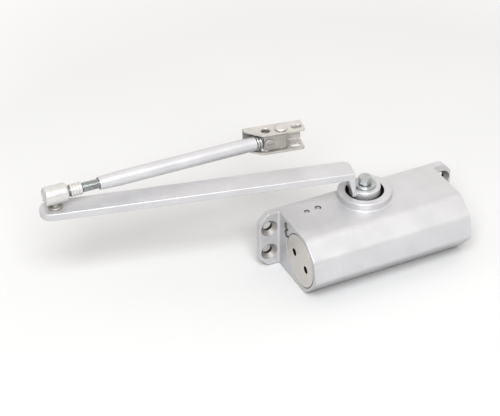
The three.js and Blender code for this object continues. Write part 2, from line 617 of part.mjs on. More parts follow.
// Pressed channel, open towards the front; the tapered flanges hold the rivet.
function shoeBracket() {
  const inside = SHOE_HALF_HEIGHT - SHEET;
  const back = WEB_Y + SHEET;
  const flange = outline([
    [SHOE_START, back], [SHOE_START, FLANGE_FRONT + 8.4, 1.5], [SHOE_START + 10.8, FLANGE_FRONT, 2],
    [SHOE_END, FLANGE_FRONT, 2], [SHOE_END, back],
  ]);
  const blank = prism('z', flange, -SHOE_HALF_HEIGHT, SHOE_HALF_HEIGHT);
  const hollow = box([-30, -10, -inside], [30, WEB_Y, inside]);
  const oblong = box([OBLONG.from, -OBLONG.r, -10], [OBLONG.to, OBLONG.r, 10])
    .add(bar('z', OBLONG.r, -10, 10, [OBLONG.from, 0], 20))
    .add(bar('z', OBLONG.r, -10, 10, [OBLONG.to, 0], 20));
  return blank.subtract(hollow)
    .subtract(bar('z', RIVET_R + GAP, -10, 10, [0, 0], 24))
    .subtract(bar('z', ROUND_HOLE.r, -10, 10, [ROUND_HOLE.u, ROUND_HOLE.v], 24))
    .subtract(oblong);
}
place('shoe_bracket', shoeBracket(), STEEL, shoeFrame);

export default closer;
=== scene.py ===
import json
import math
from itertools import pairwise

import bmesh
import bpy
from mathutils import Matrix, Vector


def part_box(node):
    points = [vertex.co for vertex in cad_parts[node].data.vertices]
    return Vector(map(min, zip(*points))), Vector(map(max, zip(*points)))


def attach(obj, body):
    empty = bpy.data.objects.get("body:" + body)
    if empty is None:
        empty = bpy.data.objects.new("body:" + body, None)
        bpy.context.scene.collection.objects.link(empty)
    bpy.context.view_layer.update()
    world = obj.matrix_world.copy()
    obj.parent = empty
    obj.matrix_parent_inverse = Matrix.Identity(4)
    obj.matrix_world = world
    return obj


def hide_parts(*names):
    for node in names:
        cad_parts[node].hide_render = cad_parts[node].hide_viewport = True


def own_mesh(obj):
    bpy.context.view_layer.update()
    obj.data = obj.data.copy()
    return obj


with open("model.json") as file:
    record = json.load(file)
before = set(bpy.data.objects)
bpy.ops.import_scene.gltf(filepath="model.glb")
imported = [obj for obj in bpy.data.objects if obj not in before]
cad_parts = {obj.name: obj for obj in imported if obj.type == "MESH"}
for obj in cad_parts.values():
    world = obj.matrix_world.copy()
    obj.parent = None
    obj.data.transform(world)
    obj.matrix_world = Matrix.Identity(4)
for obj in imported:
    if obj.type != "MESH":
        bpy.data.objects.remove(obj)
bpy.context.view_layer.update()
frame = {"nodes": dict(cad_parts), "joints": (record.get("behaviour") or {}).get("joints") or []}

bl_info = {
    "name": "Door Closer",
    "version": (1, 0, 0),
    "blender": (4, 5, 0),
    "location": "View3D > Sidebar > Door Closer",
    "description": "Finished pieces of a rack-and-pinion door closer on its packed frame",
    "category": "Object",
}

# ------------------------------------------------------------------ places from the frame
MM = 0.001
GAP = 0.3 * MM
TOUCHING = 0.001 * MM
JOINTS = {joint["name"]: joint for joint in frame["joints"]}
PINION = Vector(JOINTS["pinion_turn"]["pos_m"])
ELBOW = Vector(JOINTS["elbow_swing"]["pos_m"])
RIVET = Vector(JOINTS["shoe_swing"]["pos_m"])
KNEE = Vector(JOINTS["block_tilt"]["pos_m"])
ARM_LENGTH = (ELBOW - PINION).xy.length
ARM_TURN = math.atan2(ELBOW.y - PINION.y, ELBOW.x - PINION.x)
FORE_LINE = Vector(JOINTS["length_adjust"]["axis"])
FORE_TURN = math.atan2(FORE_LINE.y, FORE_LINE.x)
TILT_LINE = Vector(JOINTS["block_tilt"]["axis"])
SHOE_TURN = math.atan2(-TILT_LINE.x, TILT_LINE.y)

HOUSING_LOW, HOUSING_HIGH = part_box("housing")
ARM_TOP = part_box("main_arm")[1].z
LUG_END = HOUSING_HIGH.x
COLLAR_TOP = HOUSING_HIGH.z
HALF_HEIGHT = -HOUSING_LOW.z
CAP_LOW, CAP_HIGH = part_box("end_cap_right")
END_FACE = CAP_HIGH.x
CAP_R = CAP_HIGH.z
BORE_Y = (CAP_LOW.y + CAP_HIGH.y) / 2
FLOOR_Z = HOUSING_LOW.z - GAP

ALONG_X = Matrix.Rotation(math.pi / 2, 4, "Y")
ALONG_MINUS_X = Matrix.Rotation(-math.pi / 2, 4, "Y")
ALONG_Y = Matrix.Rotation(-math.pi / 2, 4, "X")
ALONG_MINUS_Y = Matrix.Rotation(math.pi / 2, 4, "X")
MAIN_ARM = Matrix.Translation((PINION.x, PINION.y, 0)) @ Matrix.Rotation(ARM_TURN, 4, "Z")
FORE_ARM = Matrix.Translation(ELBOW) @ Matrix.Rotation(FORE_TURN, 4, "Z")
SHOE = Matrix.Translation(RIVET) @ Matrix.Rotation(SHOE_TURN, 4, "Z")


# ------------------------------------------------------------------ sizes and colours
def length(name, description, default, low=0.0):
    return bpy.props.FloatProperty(
        name=name, description=description, default=default, min=low, subtype="DISTANCE", unit="LENGTH")


def angle(name, description, degrees):
    return bpy.props.FloatProperty(
        name=name, description=description, default=math.radians(degrees), subtype="ANGLE", unit="ROTATION")


def colour(name, description, default):
    return bpy.props.FloatVectorProperty(
        name=name, description=description, default=default, size=3, min=0, max=1, subtype="COLOR")


def share(name, description, default):
    return bpy.props.FloatProperty(
        name=name, description=description, default=default, min=0, max=1, subtype="FACTOR")


class HousingSizes(bpy.types.PropertyGroup):
    """Sizes of the cast housing and what is screwed into it"""

    top_depth: length("Top depth", "Where the flat top ends, from the door", 41.5 * MM)
    shoulder_depth: length("Shoulder depth", "Edge between the top facet and the front facet", 54.3 * MM)
    shoulder_height: length("Shoulder height", "Height of that edge above the middle", 10.8 * MM)
    nose_depth: length("Nose depth", "Depth of the front edge before its rounding", 57.4 * MM)
    nose_drop: length("Nose drop", "How far the front edge lies below the middle", 4.8 * MM)
    bottom_depth: length("Bottom depth", "Where the flat underside ends, from the door", 43 * MM)
    facet_round: length("Facet rounding", "Rounding of the long edges", 2.2 * MM)
    edge_round: length("Edge rounding", "Rounding of the other edges", 0.5 * MM)
    lug_thickness: length("Lug thickness", "Thickness of the screw lugs", 5 * MM)
    lug_chamfer: length("Lug chamfer", "Corner cut of the screw lugs", 6.5 * MM)
    collar_radius: length("Collar radius", "Outer radius of the collar round the spindle", 18.3 * MM)
    recess_radius: length("Recess radius", "Inner radius of the collar", 12.9 * MM)


class ArmSizes(bpy.types.PropertyGroup):
    """Sizes of the cranked main arm"""

    half_width: length("Half width", "Half width of the flat bar", 8.17 * MM)
    overhang: length("Overhang", "Centre of the round end, past the elbow", 2.2 * MM)
    thickness: length("Thickness", "Thickness of the flat bar", 5.2 * MM)
    foot_inner: length("Foot, inner", "Inner face of the riser at the hub", 8.2 * MM)
    foot_outer: length("Foot, outer", "Outer face of the riser at the hub", 10.6 * MM)
    bar_inner: length("Bar, inner", "Inner face of the riser at the bar", 9.4 * MM)
    bar_outer: length("Bar, outer", "Outer face of the riser at the bar", 13.4 * MM)
    corner_round: length("Corner rounding", "Rounding of the riser's front corner", 5.5 * MM)
    edge_round: length("Edge rounding", "Rounding of the forged edges", 0.5 * MM)


class ForeArmSizes(bpy.types.PropertyGroup):
    """Sizes of the round fore arm and its elbow"""

    thread_pitch: length("Thread pitch", "Pitch of the adjusting thread", 1 * MM, 0.2 * MM)
    thread_radius: length("Thread radius", "Outer radius of the adjusting thread", 3.3 * MM)
    tube_start: length("Tube start", "Where the tube begins, from the elbow", 30 * MM)
    tube_end: length("Tube end", "Where the tube ends, from the elbow", 140.5 * MM)


class ShoeSizes(bpy.types.PropertyGroup):
    """Sizes of the pressed frame shoe"""

    sheet: length("Sheet", "Thickness of the pressed steel", 1.6 * MM)
    bend: length("Bend", "Outer radius of the two bends", 2.2 * MM)
    start: length("Start", "Left end, before the rivet", 24.4 * MM)
    end: length("End", "Right end, past the rivet", 15.8 * MM)
    front: length("Front", "Front edge of the flanges, before the rivet", 4.8 * MM)
    back: length("Back", "Back of the web, behind the rivet", 8.4 * MM)


class FinishColours(bpy.types.PropertyGroup):
    """Colours of the finishes"""

    paint: colour("Silver paint", "Housing, main arm and tube", (0.54, 0.535, 0.545))
    zinc: colour("Zinc", "Valves, washer, screw, rod and tongue", (0.54, 0.56, 0.555))
    cap: colour("Cap paint", "End caps", (0.60, 0.575, 0.54))
    steel: colour("Pressed steel", "Shoe and its rivet", (0.60, 0.585, 0.565))
    # Darker than the pressed steel: dull cast steel, and painted shade on the pivot block's front and the ball
    # stud.
    cast: colour("Cast steel", "Pivot block, ball stud, plugs and inner parts", (0.44, 0.43, 0.405))
    satin: colour("Satin metal", "Elbow knuckle and locknut", (0.62, 0.615, 0.60))
    rubber: colour("Rubber", "Seals", (0.018, 0.018, 0.019))
    bronze: colour("Bronze", "Bearings and valve seat", (0.46, 0.29, 0.12))
    sink: colour("Machined metal", "Countersinks", (0.34, 0.325, 0.31))
    # Near-black: bare oily metal, made darker as painted shade for the bores, recesses and gaps where shade
    # falls.
    oil_and_shade: colour("Oily metal", "Bores and narrow gaps", (0.045, 0.04, 0.036))
    wear: share("Wear", "How much the edges and faces are marked by handling", 0.35)


class StudioSettings(bpy.types.PropertyGroup):
    """Camera and lights"""

    camera_place: bpy.props.FloatVectorProperty(
        name="Camera place", description="Where the camera stands", size=3,
        default=(-0.48427, -0.83093, 0.68456), subtype="TRANSLATION", unit="LENGTH")
    heading: angle("Heading", "Camera's turn about the vertical", -26.0366)
    dip: angle("Dip", "How far the camera looks down", 35.4237)
    roll: angle("Roll", "Camera's turn about its own line", -0.1795)
    focal_length: bpy.props.FloatProperty(
        name="Focal length", description="Lens for a sensor 36 mm wide", default=124.407, unit="CAMERA")
    key_power: bpy.props.FloatProperty(
        name="Key power", description="Large lamp above the front left", default=95, unit="POWER")
    surround: share("Surround", "Brightness of the room", 0.70)
    contrast: share("Contrast", "Gamma of the finished picture; lower is harder", 0.8)


# ------------------------------------------------------------------ modelling
def clear():
    """Object mode with nothing selected."""
    if bpy.context.object and bpy.context.object.mode != "OBJECT":
        bpy.ops.object.mode_set(mode="OBJECT")
    bpy.ops.object.select_all(action="DESELECT")


def take(piece):
    clear()
    piece.select_set(True)
    bpy.context.view_layer.objects.active = piece


def named(name):
    piece = bpy.context.object
    piece.name = piece.data.name = name
    return piece


def block(name, low, high):
    """A rectangular start between two corners."""
    clear()
    low, high = Vector(low), Vector(high)
    bpy.ops.mesh.primitive_cube_add(size=1, location=(low + high) / 2, scale=high - low)
    bpy.ops.object.transform_apply(location=True, rotation=True, scale=True)
    return named(name)


def moved(piece, matrix):
    """Turns and moves a piece into place and leaves its object at the origin."""
    take(piece)
    piece.matrix_world = matrix @ piece.matrix_world
    bpy.ops.object.transform_apply(location=True, rotation=True, scale=True)
    return piece


def edit(piece, kind="EDGE"):
    take(piece)
    bpy.ops.object.mode_set(mode="EDIT")
    bpy.ops.mesh.select_mode(type=kind)
    bpy.ops.mesh.select_all(action="DESELECT")
    mesh = bmesh.from_edit_mesh(piece.data)
    mesh.normal_update()
    return mesh


def pick(piece, kind, test):
    """Goes into edit mode with the edges or faces that pass the test selected, and says how many."""
    mesh = edit(piece, kind)
    found = [part for part in (mesh.edges if kind == "EDGE" else mesh.faces) if test(part)]
    for part in found:
        part.select_set(True)
    bmesh.update_edit_mesh(piece.data)
    if not found:
        raise RuntimeError(f"{piece.name}: nothing to select")
    return len(found)


def middle(part):
    return sum((v.co for v in part.verts), Vector()) / len(part.verts)


def runs(edge, axis):
    """True if the edge lies along the axis."""
    line = edge.verts[1].co - edge.verts[0].co
    return line.length > 0 and abs(line[axis]) > 0.999 * line.length


def turn_at(edge):
    return edge.calc_face_angle(0)


def sharp(edge, degrees=28):
    return edge.is_manifold and turn_at(edge) > math.radians(degrees)


def near(value, target, slack=0.02 * MM):
    return abs(value - target) < slack


def bevel(piece, test, width, segments=3):
    pick(piece, "EDGE", test)
    bpy.ops.mesh.bevel(offset=width, segments=segments, profile=0.5, affect="EDGES", clamp_overlap=True)
    clear()
    return piece


def weld(piece, reach):
    """Merges points that are closer together than the reach."""
    edit(piece)
    bpy.ops.mesh.select_all(action="SELECT")
    bpy.ops.mesh.remove_doubles(threshold=reach)
    clear()
    return piece


def slice_off(piece, point, normal, fill=True):
    """Cuts away what lies beyond a plane."""
    edit(piece)
    bpy.ops.mesh.select_all(action="SELECT")
    bpy.ops.mesh.bisect(plane_co=point, plane_no=Vector(normal).normalized(), threshold=TOUCHING,
                        use_fill=fill, clear_outer=True)
    clear()
    return piece


def score(piece, point, normal):
    """Adds edges along a plane and cuts nothing away."""
    edit(piece)
    bpy.ops.mesh.select_all(action="SELECT")
    bpy.ops.mesh.bisect(plane_co=point, plane_no=Vector(normal).normalized(), threshold=TOUCHING)
    clear()
    return piece


def combine(piece, tool, operation):
    take(piece)
    step = piece.modifiers.new("combine", "BOOLEAN")
    step.operation, step.object, step.solver = operation, tool, "EXACT"
    bpy.ops.object.modifier_apply(modifier=step.name)
    bpy.data.objects.remove(tool)
    return piece


def cut(piece, *tools):
    for tool in tools:
        combine(piece, tool, "DIFFERENCE")
    return piece


def join(piece, *tools):
    for tool in tools:
        combine(piece, tool, "UNION")
    return piece


def softened(profile, closed=False, steps=4):
    """A profile of (radius, place, rounding) in millimetres, with each corner rounded."""
    points = [Vector(corner[:2]) * MM for corner in profile]
    rounds = [corner[2] * MM if len(corner) > 2 else 0 for corner in profile]
    line = []
    for k, (here, size) in enumerate(zip(points, rounds)):
        if size == 0 or (not closed and k in (0, len(points) - 1)):
            line.append(here)
            continue
        before, after = points[k - 1], points[(k + 1) % len(points)]
        inward = here + (before - here).normalized() * size
        onward = here + (after - here).normalized() * size
        for n in range(steps + 1):
            t = n / steps
            line.append(inward * (1 - t) ** 2 + here * 2 * t * (1 - t) + onward * t ** 2)
    return line


def turned(name, profile, sides=64, closed=False, matrix=Matrix(), steps=4):
    """Turns a piece: a circle is extruded and resized along Z from one point of the profile to the next.
    An open profile gets a flat face at each end; a closed one comes back to where it began."""
    line = softened(profile, closed, steps)
    if closed:
        line.append(line[0])
    clear()
    bpy.ops.mesh.primitive_circle_add(
        vertices=sides, radius=line[0].x, fill_type="NOTHING", location=(0, 0, line[0].y))
    bpy.ops.object.transform_apply(location=True, rotation=True, scale=True)
    piece = named(name)
    bpy.ops.object.mode_set(mode="EDIT")
    bpy.ops.mesh.select_mode(type="EDGE")
    bpy.ops.mesh.select_all(action="SELECT")
    for here, there in pairwise(line):
        bpy.ops.mesh.extrude_edges_move(TRANSFORM_OT_translate={"value": (0, 0, there.y - here.y)})
        ratio = there.x / here.x
        bpy.ops.transform.resize(value=(ratio, ratio, 1), center_override=(0, 0, there.y))
    bpy.ops.mesh.select_all(action="SELECT")
    if closed:
        bpy.ops.mesh.remove_doubles(threshold=TOUCHING)
    else:
        bpy.ops.mesh.fill_holes(sides=0)
        bpy.ops.mesh.select_all(action="SELECT")
    bpy.ops.mesh.normals_make_consistent(inside=False)
    clear()
    return moved(piece, matrix)


def rod(name, radius, low, high, sides=48, matrix=Matrix()):
    """A plain round tool for a hole, in millimetres."""
    return turned(name, [(radius, low), (radius, high)], sides, matrix=matrix)


def shift(x=0, y=0, z=0):
    return Matrix.Translation((x * MM, y * MM, z * MM))


def smooth(piece, degrees=30):
    take(piece)
    bpy.ops.object.shade_smooth_by_angle(angle=math.radians(degrees))
    step = piece.modifiers.new("even shading", "WEIGHTED_NORMAL")
    step.keep_sharp, step.weight = True, 60
    bpy.ops.object.modifier_apply(modifier=step.name)
    return piece


def line(piece, finish, test):
    """Gives the faces whose middle passes the test another finish."""
    piece.data.materials.append(finish_of(finish))
    for face in piece.data.polygons:
        if test(face.center):
            face.material_index = len(piece.data.materials) - 1
    return piece


def settle(piece, body, slot, finish, *nodes):
    """Gives a finished piece its material, its body, its slot and the nodes that it stands for."""
    smooth(piece)
    piece.data.materials.clear()
    piece.data.materials.append(finish)
    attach(piece, body)
    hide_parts(*nodes)
    return piece


# ------------------------------------------------------------------ shader maths
class Wire:
    """A socket of a material, so that shader maths is written as an expression."""

    def __init__(self, finish, socket):
        self.finish, self.socket = finish, socket

    def maths(self, operation, *values):
        return self.finish.node("ShaderNodeMath", {"operation": operation}, list(values))

    def __add__(self, other):
        return self.maths("ADD", self, other)

    def __sub__(self, other):
        return self.maths("SUBTRACT", self, other)

    def __mul__(self, other):
        return self.maths("MULTIPLY", self, other)

    def __rsub__(self, other):
        return self.maths("SUBTRACT", other, self)

    __radd__ = __add__
    __rmul__ = __mul__


class Finish:
    """A material under construction."""

    def __init__(self, name):
        self.material = bpy.data.materials.new(name)
        self.material.use_nodes = True
        self.tree = self.material.node_tree
        self.tree.nodes.clear()

    def node(self, kind, settings=None, values=(), output=0):
        """Adds a node: its settings first, then the values or links of its sockets, by place or by name."""
        made = self.tree.nodes.new(kind)
        for key, value in (settings or {}).items():
            if key == "stops":
                ramp = made.color_ramp
                while len(ramp.elements) < len(value):
                    ramp.elements.new(0.5)
                for stop, (place, tint) in zip(ramp.elements, value):
                    stop.position, stop.color = place, (*tint, 1)
            else:
                setattr(made, key, value)
        pairs = values.items() if isinstance(values, dict) else enumerate(values)
        for key, value in pairs:
            if value is None:
                continue
            if isinstance(value, Wire):
                self.tree.links.new(value.socket, made.inputs[key])
            else:
                made.inputs[key].default_value = value
        return Wire(self, made.outputs[output])

    def place(self, stretch=(1, 1, 1), rotation=0.0):
        """Position on the piece in metres, turned about Z and stretched."""
        position = self.node("ShaderNodeTexCoord", output="Object")
        return self.node("ShaderNodeMapping", {"vector_type": "TEXTURE"}, {
            "Vector": position, "Rotation": (0, 0, rotation), "Scale": stretch})

    def noise(self, place, scale, detail=3.0, roughness=0.55):
        return self.node("ShaderNodeTexNoise", None, {
            "Vector": place, "Scale": scale, "Detail": detail, "Roughness": roughness})

    def range(self, value, low, high, to_low=0.0, to_high=1.0):
        return self.node("ShaderNodeMapRange", None, [value, low, high, to_low, to_high])

    def tint(self, factor, first, second, blend="MIX"):
        return self.node("ShaderNodeMix", {"data_type": "RGBA", "blend_type": blend}, {
            0: factor,
            6: first if isinstance(first, Wire) else (*first, 1),
            7: second if isinstance(second, Wire) else (*second, 1),
        }, output=2)

    def bump(self, height, strength, distance, under=None):
        return self.node("ShaderNodeBump", None, {
            "Strength": strength, "Distance": distance, "Height": height, "Normal": under})

    def done(self, **sockets):
        """Ends in a Principled shader with these sockets."""
        inputs = {key.replace("_", " ").title().replace("Ior", "IOR"): value
                  for key, value in sockets.items()}
        shader = self.node("ShaderNodeBsdfPrincipled", None, inputs)
        end = self.tree.nodes.new("ShaderNodeOutputMaterial")
        self.tree.links.new(shader.socket, end.inputs["Surface"])
        return self.material


def shade(tone, factor):
    return tuple(min(1.0, channel * factor) for channel in tone)


def sprayed_paint(name, tone, wear):
    """Sprayed silver: fine flake, a slight orange peel, faint dust and thin handling marks."""
    made = Finish(name)
    place = made.place()
    flake = made.node(
        "ShaderNodeTexVoronoi", {"feature": "F1"}, {"Vector": place, "Scale": 5200.0}, output="Color")
    glint = made.range(made.node("ShaderNodeSeparateColor", None, [flake]), 0.0, 1.0)
    cloud = made.range(made.noise(place, 55.0, 4.0), 0.35, 0.65)
    marks = made.range(made.noise(made.place((1, 1, 0.08), 0.5), 900.0, 2.0), 0.66, 0.72)
    base = made.tint(cloud, shade(tone, 0.965), shade(tone, 1.03))
    base = made.tint(glint * 0.09, base, (0.93, 0.93, 0.95))
    base = made.tint(marks * (0.25 * wear), base, shade(tone, 0.72))
    rough = 0.36 + cloud * 0.05 + marks * 0.08 - glint * 0.04
    peel = made.bump(made.noise(place, 420.0, 2.0), 0.12, 0.00012)
    grain = made.bump(made.noise(place, 2600.0, 2.0), 0.10, 0.00004, peel)
    return made.done(base_color=base, metallic=0.4, roughness=rough, normal=grain, coat_weight=0.12,
                     coat_roughness=0.25)


def turned_metal(name, tone, wear, rotation=0.0, stretch=(1, 1, 1), roughness=0.3, metallic=0.85, patch=0.08):
    """Bright metal: fine tool marks, a slight mottle and small dull spots."""
    made = Finish(name)
    place = made.place()
    cloud = made.range(made.noise(place, 160.0, 4.0), 0.35, 0.65)
    spots = made.range(made.noise(place, 700.0, 3.0, 0.7), 0.60, 0.70)
    lines = made.noise(made.place(stretch, rotation), 2400.0, 2.0)
    base = made.tint(cloud, shade(tone, 1 - patch), shade(tone, 1 + patch))
    base = made.tint(spots * wear, base, shade(tone, 0.62))
    rough = roughness + cloud * 0.08 + spots * (0.2 * wear)
    return made.done(base_color=base, metallic=metallic, roughness=rough,
                     normal=made.bump(lines, 0.12, 0.00003))


def raw_steel(name, tone, wear):
    """Bare steel with a mottled, faintly warm surface and fine scratches."""
    made = Finish(name)
    place = made.place()
    cloud = made.range(made.noise(place, 120.0, 5.0, 0.6), 0.32, 0.68)
    fine = made.range(made.noise(place, 900.0, 3.0, 0.65), 0.3, 0.7)
    scratch = made.range(made.noise(made.place((1, 0.06, 1), 0.6), 1500.0, 1.0), 0.64, 0.70)
    base = made.tint(cloud, shade(tone, 0.88), shade(tone, 1.08))
    base = made.tint(fine * 0.2, base, (0.62, 0.55, 0.46))
    base = made.tint(scratch * wear, base, (0.8, 0.8, 0.79))
    rough = 0.36 + cloud * 0.12 - scratch * 0.08
    bumped = made.bump(fine + scratch * 0.5, 0.16, 0.00004)
    return made.done(base_color=base, metallic=0.55, roughness=rough, normal=bumped)


def moulded_rubber(tones):
    made = Finish("moulded_rubber")
    place = made.place()
    cloud = made.range(made.noise(place, 300.0, 3.0), 0.3, 0.7)
    base = made.tint(cloud, tones.rubber, shade(tones.rubber, 1.9))
    return made.done(base_color=base, roughness=0.62 + cloud * 0.14,
                     normal=made.bump(made.noise(place, 1800.0), 0.2, 0.00005))


def sintered_bronze(tones):
    made = Finish("sintered_bronze")
    place = made.place()
    pores = made.range(made.noise(place, 3200.0, 2.0, 0.7), 0.58, 0.66)
    cloud = made.range(made.noise(place, 140.0, 3.0), 0.35, 0.65)
    base = made.tint(cloud, shade(tones.bronze, 0.9), shade(tones.bronze, 1.12))
    base = made.tint(pores * 0.7, base, shade(tones.bronze, 0.35))
    return made.done(base_color=base, metallic=0.85, roughness=0.42 + pores * 0.25,
                     normal=made.bump(1 - pores, 0.25, 0.00004))


FINISHES = {}


def finish_of(name):
    """The material of that name, made when it is first asked for."""
    tones = bpy.context.scene.closer_colours
    makers = {
        "silver_paint": lambda: sprayed_paint("silver_paint", tones.paint, tones.wear),
        "cap_paint": lambda: sprayed_paint("cap_paint", tones.cap, tones.wear),
        "zinc_plate": lambda: turned_metal("zinc_plate", tones.zinc, tones.wear * 0.5, roughness=0.26),
        "threaded_zinc": lambda: turned_metal(
            "threaded_zinc", shade(tones.zinc, 0.9), tones.wear, FORE_TURN, (1, 0.2, 0.2), 0.34),
        "pressed_steel": lambda: raw_steel("pressed_steel", tones.steel, tones.wear),
        # Painted shade: the darker steel tone also stands in for the shade on the pivot block's front and the
        # ball stud.
        "cast_steel_and_shade": lambda: raw_steel("cast_steel_and_shade", tones.cast, tones.wear),
        "satin_metal": lambda: turned_metal(
            "satin_metal", tones.satin, tones.wear * 0.3, FORE_TURN, (1, 0.08, 0.08), 0.3, 0.55, 0.03),
        "machined_metal": lambda: turned_metal(
            "machined_metal", tones.sink, tones.wear, roughness=0.5, metallic=0.5),
        # Painted shade: this near-black oily finish makes bores, recesses and gaps read dark.
        "oily_metal_and_shade": lambda: turned_metal("oily_metal_and_shade", tones.oil_and_shade, tones.wear, roughness=0.4, metallic=0.4),
        "moulded_rubber": lambda: moulded_rubber(tones),
        "sintered_bronze": lambda: sintered_bronze(tones),
    }
    if name not in FINISHES:
        FINISHES[name] = makers[name]()
    return FINISHES[name]


# ------------------------------------------------------------------ housing
def faceted_barrel(sizes):
    """The casting's body and lugs from one cube: sliced facets, then the lugs pulled out of the end faces."""
    blank_depth = sizes.nose_depth + 3 * MM
    piece = block("housing_casting", (-END_FACE, -blank_depth, -HALF_HEIGHT), (END_FACE, 0, HALF_HEIGHT))
    corners = [
        (-sizes.top_depth, HALF_HEIGHT), (-sizes.shoulder_depth, sizes.shoulder_height),
        (-sizes.nose_depth, -sizes.nose_drop), (-sizes.bottom_depth, -HALF_HEIGHT)]
    for (y0, z0), (y1, z1) in pairwise(corners):
        slice_off(piece, (0, y0, z0), (0, z1 - z0, y0 - y1))
    score(piece, (0, -sizes.lug_thickness, 0), (0, 1, 0))

    for side in (-1, 1):
        pick(piece, "FACE", lambda face: near(middle(face).x, side * END_FACE)
             and middle(face).y > -sizes.lug_thickness)
        bpy.ops.mesh.extrude_region_move(
            TRANSFORM_OT_translate={"value": (side * (LUG_END - END_FACE), 0, 0)})
        clear()

    depths = {round(y, 5) for y, _ in corners}
    bevel(piece, lambda edge: runs(edge, 0) and sharp(edge, 8) and round(middle(edge).y, 5) in depths,
          sizes.facet_round, 6)
    lug_corner = lambda edge: runs(edge, 1) and near(abs(middle(edge).x), LUG_END)
    bevel(piece, lug_corner, sizes.lug_chamfer, 1)
    chamfered = LUG_END - sizes.lug_chamfer
    bevel(piece, lambda edge: runs(edge, 1) and middle(edge).y > -sizes.lug_thickness
          and abs(middle(edge).x) > chamfered - 0.1 * MM and sharp(edge), 1.2 * MM, 4)
    bevel(piece, lambda edge: runs(edge, 2) and near(abs(middle(edge).x), END_FACE)
          and near(middle(edge).y, -sizes.lug_thickness), 1.6 * MM, 5)
    bevel(piece, lambda edge: sharp(edge, 40), sizes.edge_round, 3)
    return piece


def spindle_collar(sizes):
    """Raised collar with a flared foot, cut flush where the door lies."""
    outer, top = sizes.collar_radius / MM, COLLAR_TOP / MM
    piece = turned("collar", [
        (outer + 1.1, 19), (outer + 1.1, 21.02), (outer, 21.05, 1.0), (outer, top, 0.7),
        (sizes.recess_radius / MM, top, 0.6), (sizes.recess_radius / MM, 19)], 128, closed=True)
    moved(piece, Matrix.Translation((PINION.x, PINION.y, 0)))
    slice_off(piece, (0, -0.08 * MM, 0), (0, 1, 0))
    return bevel(piece, lambda edge: near(middle(edge).y, -0.08 * MM) and sharp(edge, 40)
                 and middle(edge).z > 21.3 * MM, 0.35 * MM, 2)


# In millimetres: valves with their bodies, y and z; plugs with their x, y and radius.
HOLE_X, HOLE_Z, HOLE_R, SINK_R = 66.5, 9.5, 3.2, 6.2
VALVES = [
    ("closing_speed_valve", "closing_valve", -15, 15.2),
    ("latching_speed_valve", "latching_valve", -15.3, 9.6),
]
VALVE_BORE_R, VALVE_SINK_R = 2.6, 2.75
PLUGS = [("oil_passage_plug_1", -42.8, -12.8, 1.3), ("oil_passage_plug_2", -34.2, -12.3, 1.7)]
CAP_SEAT_R = 18.7


def housing_holes(sizes):
    """The tools that cut the housing's bores, sinks and recesses."""
    end, centre = END_FACE / MM, BORE_Y / MM
    tools = [rod("bore", 16, -end - 1, end + 1, 128, shift(0, centre) @ ALONG_X)]
    for way in (ALONG_X, ALONG_MINUS_X):
        tools.append(turned("cap_recess", [
            (CAP_SEAT_R, end - 4.3), (CAP_SEAT_R, end - 0.3), (19.3, end + 0.3), (19.3, end + 2)],
            128, matrix=shift(0, centre) @ way))
    for side in (-1, 1):
        for level in (-1, 1):
            tools.append(turned("screw_hole", [
                (HOLE_R, -2), (HOLE_R, 2.2, 0.3), (6.0, 5, 0.5), (7.4, 5.7), (7.4, 7)],
                64, matrix=shift(side * HOLE_X, 0, level * HOLE_Z) @ ALONG_MINUS_Y))
    seat = shift(PINION.x / MM, PINION.y / MM)
    tools.append(turned("chamber", [(9.6, -22), (9.6, -20.8), (9.3, -20.5), (9.3, 22)], 96, matrix=seat))
    for name, _, y, z in VALVES:
        tools.append(turned(f"{name}_hole", [
            (VALVE_BORE_R, end - 14.6), (VALVE_BORE_R, end - 0.1), (VALVE_SINK_R, end + 0.05),
                (VALVE_SINK_R, end + 1)],
            40, matrix=shift(0, y, z) @ ALONG_MINUS_X))
    for name, x, y, radius in PLUGS:
        tools.append(turned(f"{name}_hole", [
            (radius + 0.3, 17), (radius + 0.3, 20.8), (radius + 0.6, 21.2), (radius + 0.6, 22)],
            32, matrix=shift(x, y)))
    return tools


def from_screw(at):
    """How far a point of a lug lies from the nearest screw's axis."""
    return math.hypot(abs(at.x) - HOLE_X * MM, abs(at.z) - HOLE_Z * MM)


def in_screw_sink(at):
    """True in the countersinks of the lugs."""
    return from_screw(at) < (SINK_R + 0.1) * MM and -4.97 * MM < at.y < -0.02 * MM


def in_narrow_bore(at):
    """True in the cylinder, the seats of the caps, the collar's recess and the bores of valves and plugs."""
    inner = abs(at.x) < END_FACE - 0.28 * MM
    screws = from_screw(at) < (HOLE_R + 0.05) * MM and -4.9 * MM < at.y < -0.02 * MM
    cylinder = (inner and math.hypot(at.y - BORE_Y, at.z) < (CAP_SEAT_R + 0.05) * MM
                and abs(at.z) < HALF_HEIGHT - 1 * MM)
    recess = (at - PINION).xy.length < 12.95 * MM and at.z < COLLAR_TOP - 0.3 * MM
    chamber = (at - PINION).xy.length < 9.7 * MM
    valves = at.x < -END_FACE + 16 * MM and any(
        math.hypot(at.y - y * MM, at.z - z * MM) < (VALVE_SINK_R - 0.03) * MM for _, _, y, z in VALVES)
    plugs = 16 * MM < at.z < HALF_HEIGHT - 0.01 * MM and any(
        math.hypot(at.x - x * MM, at.y - y * MM) < (radius + 0.5) * MM for _, x, y, radius in PLUGS)
    return screws or cylinder or recess or chamber or valves or plugs


class CLOSER_OT_housing(bpy.types.Operator):
    """Cast housing with its facets, screw lugs, collar and bores"""

    bl_idname = "closer.housing"
    bl_label = "Housing"

    def execute(self, context):
        sizes = context.scene.closer_housing
        piece = join(faceted_barrel(sizes), spindle_collar(sizes))
        cut(piece, *housing_holes(sizes))
        settle(piece, "body", "silver_paint", finish_of("silver_paint"), "housing")
        line(piece, "machined_metal", in_screw_sink)
        # Painted shade: the cylinder, cap seats, collar recess, chamber, screw holes and the valve and plug
        # bores get the near-black oily finish.
        line(piece, "oily_metal_and_shade", in_narrow_bore)
        return {"FINISHED"}


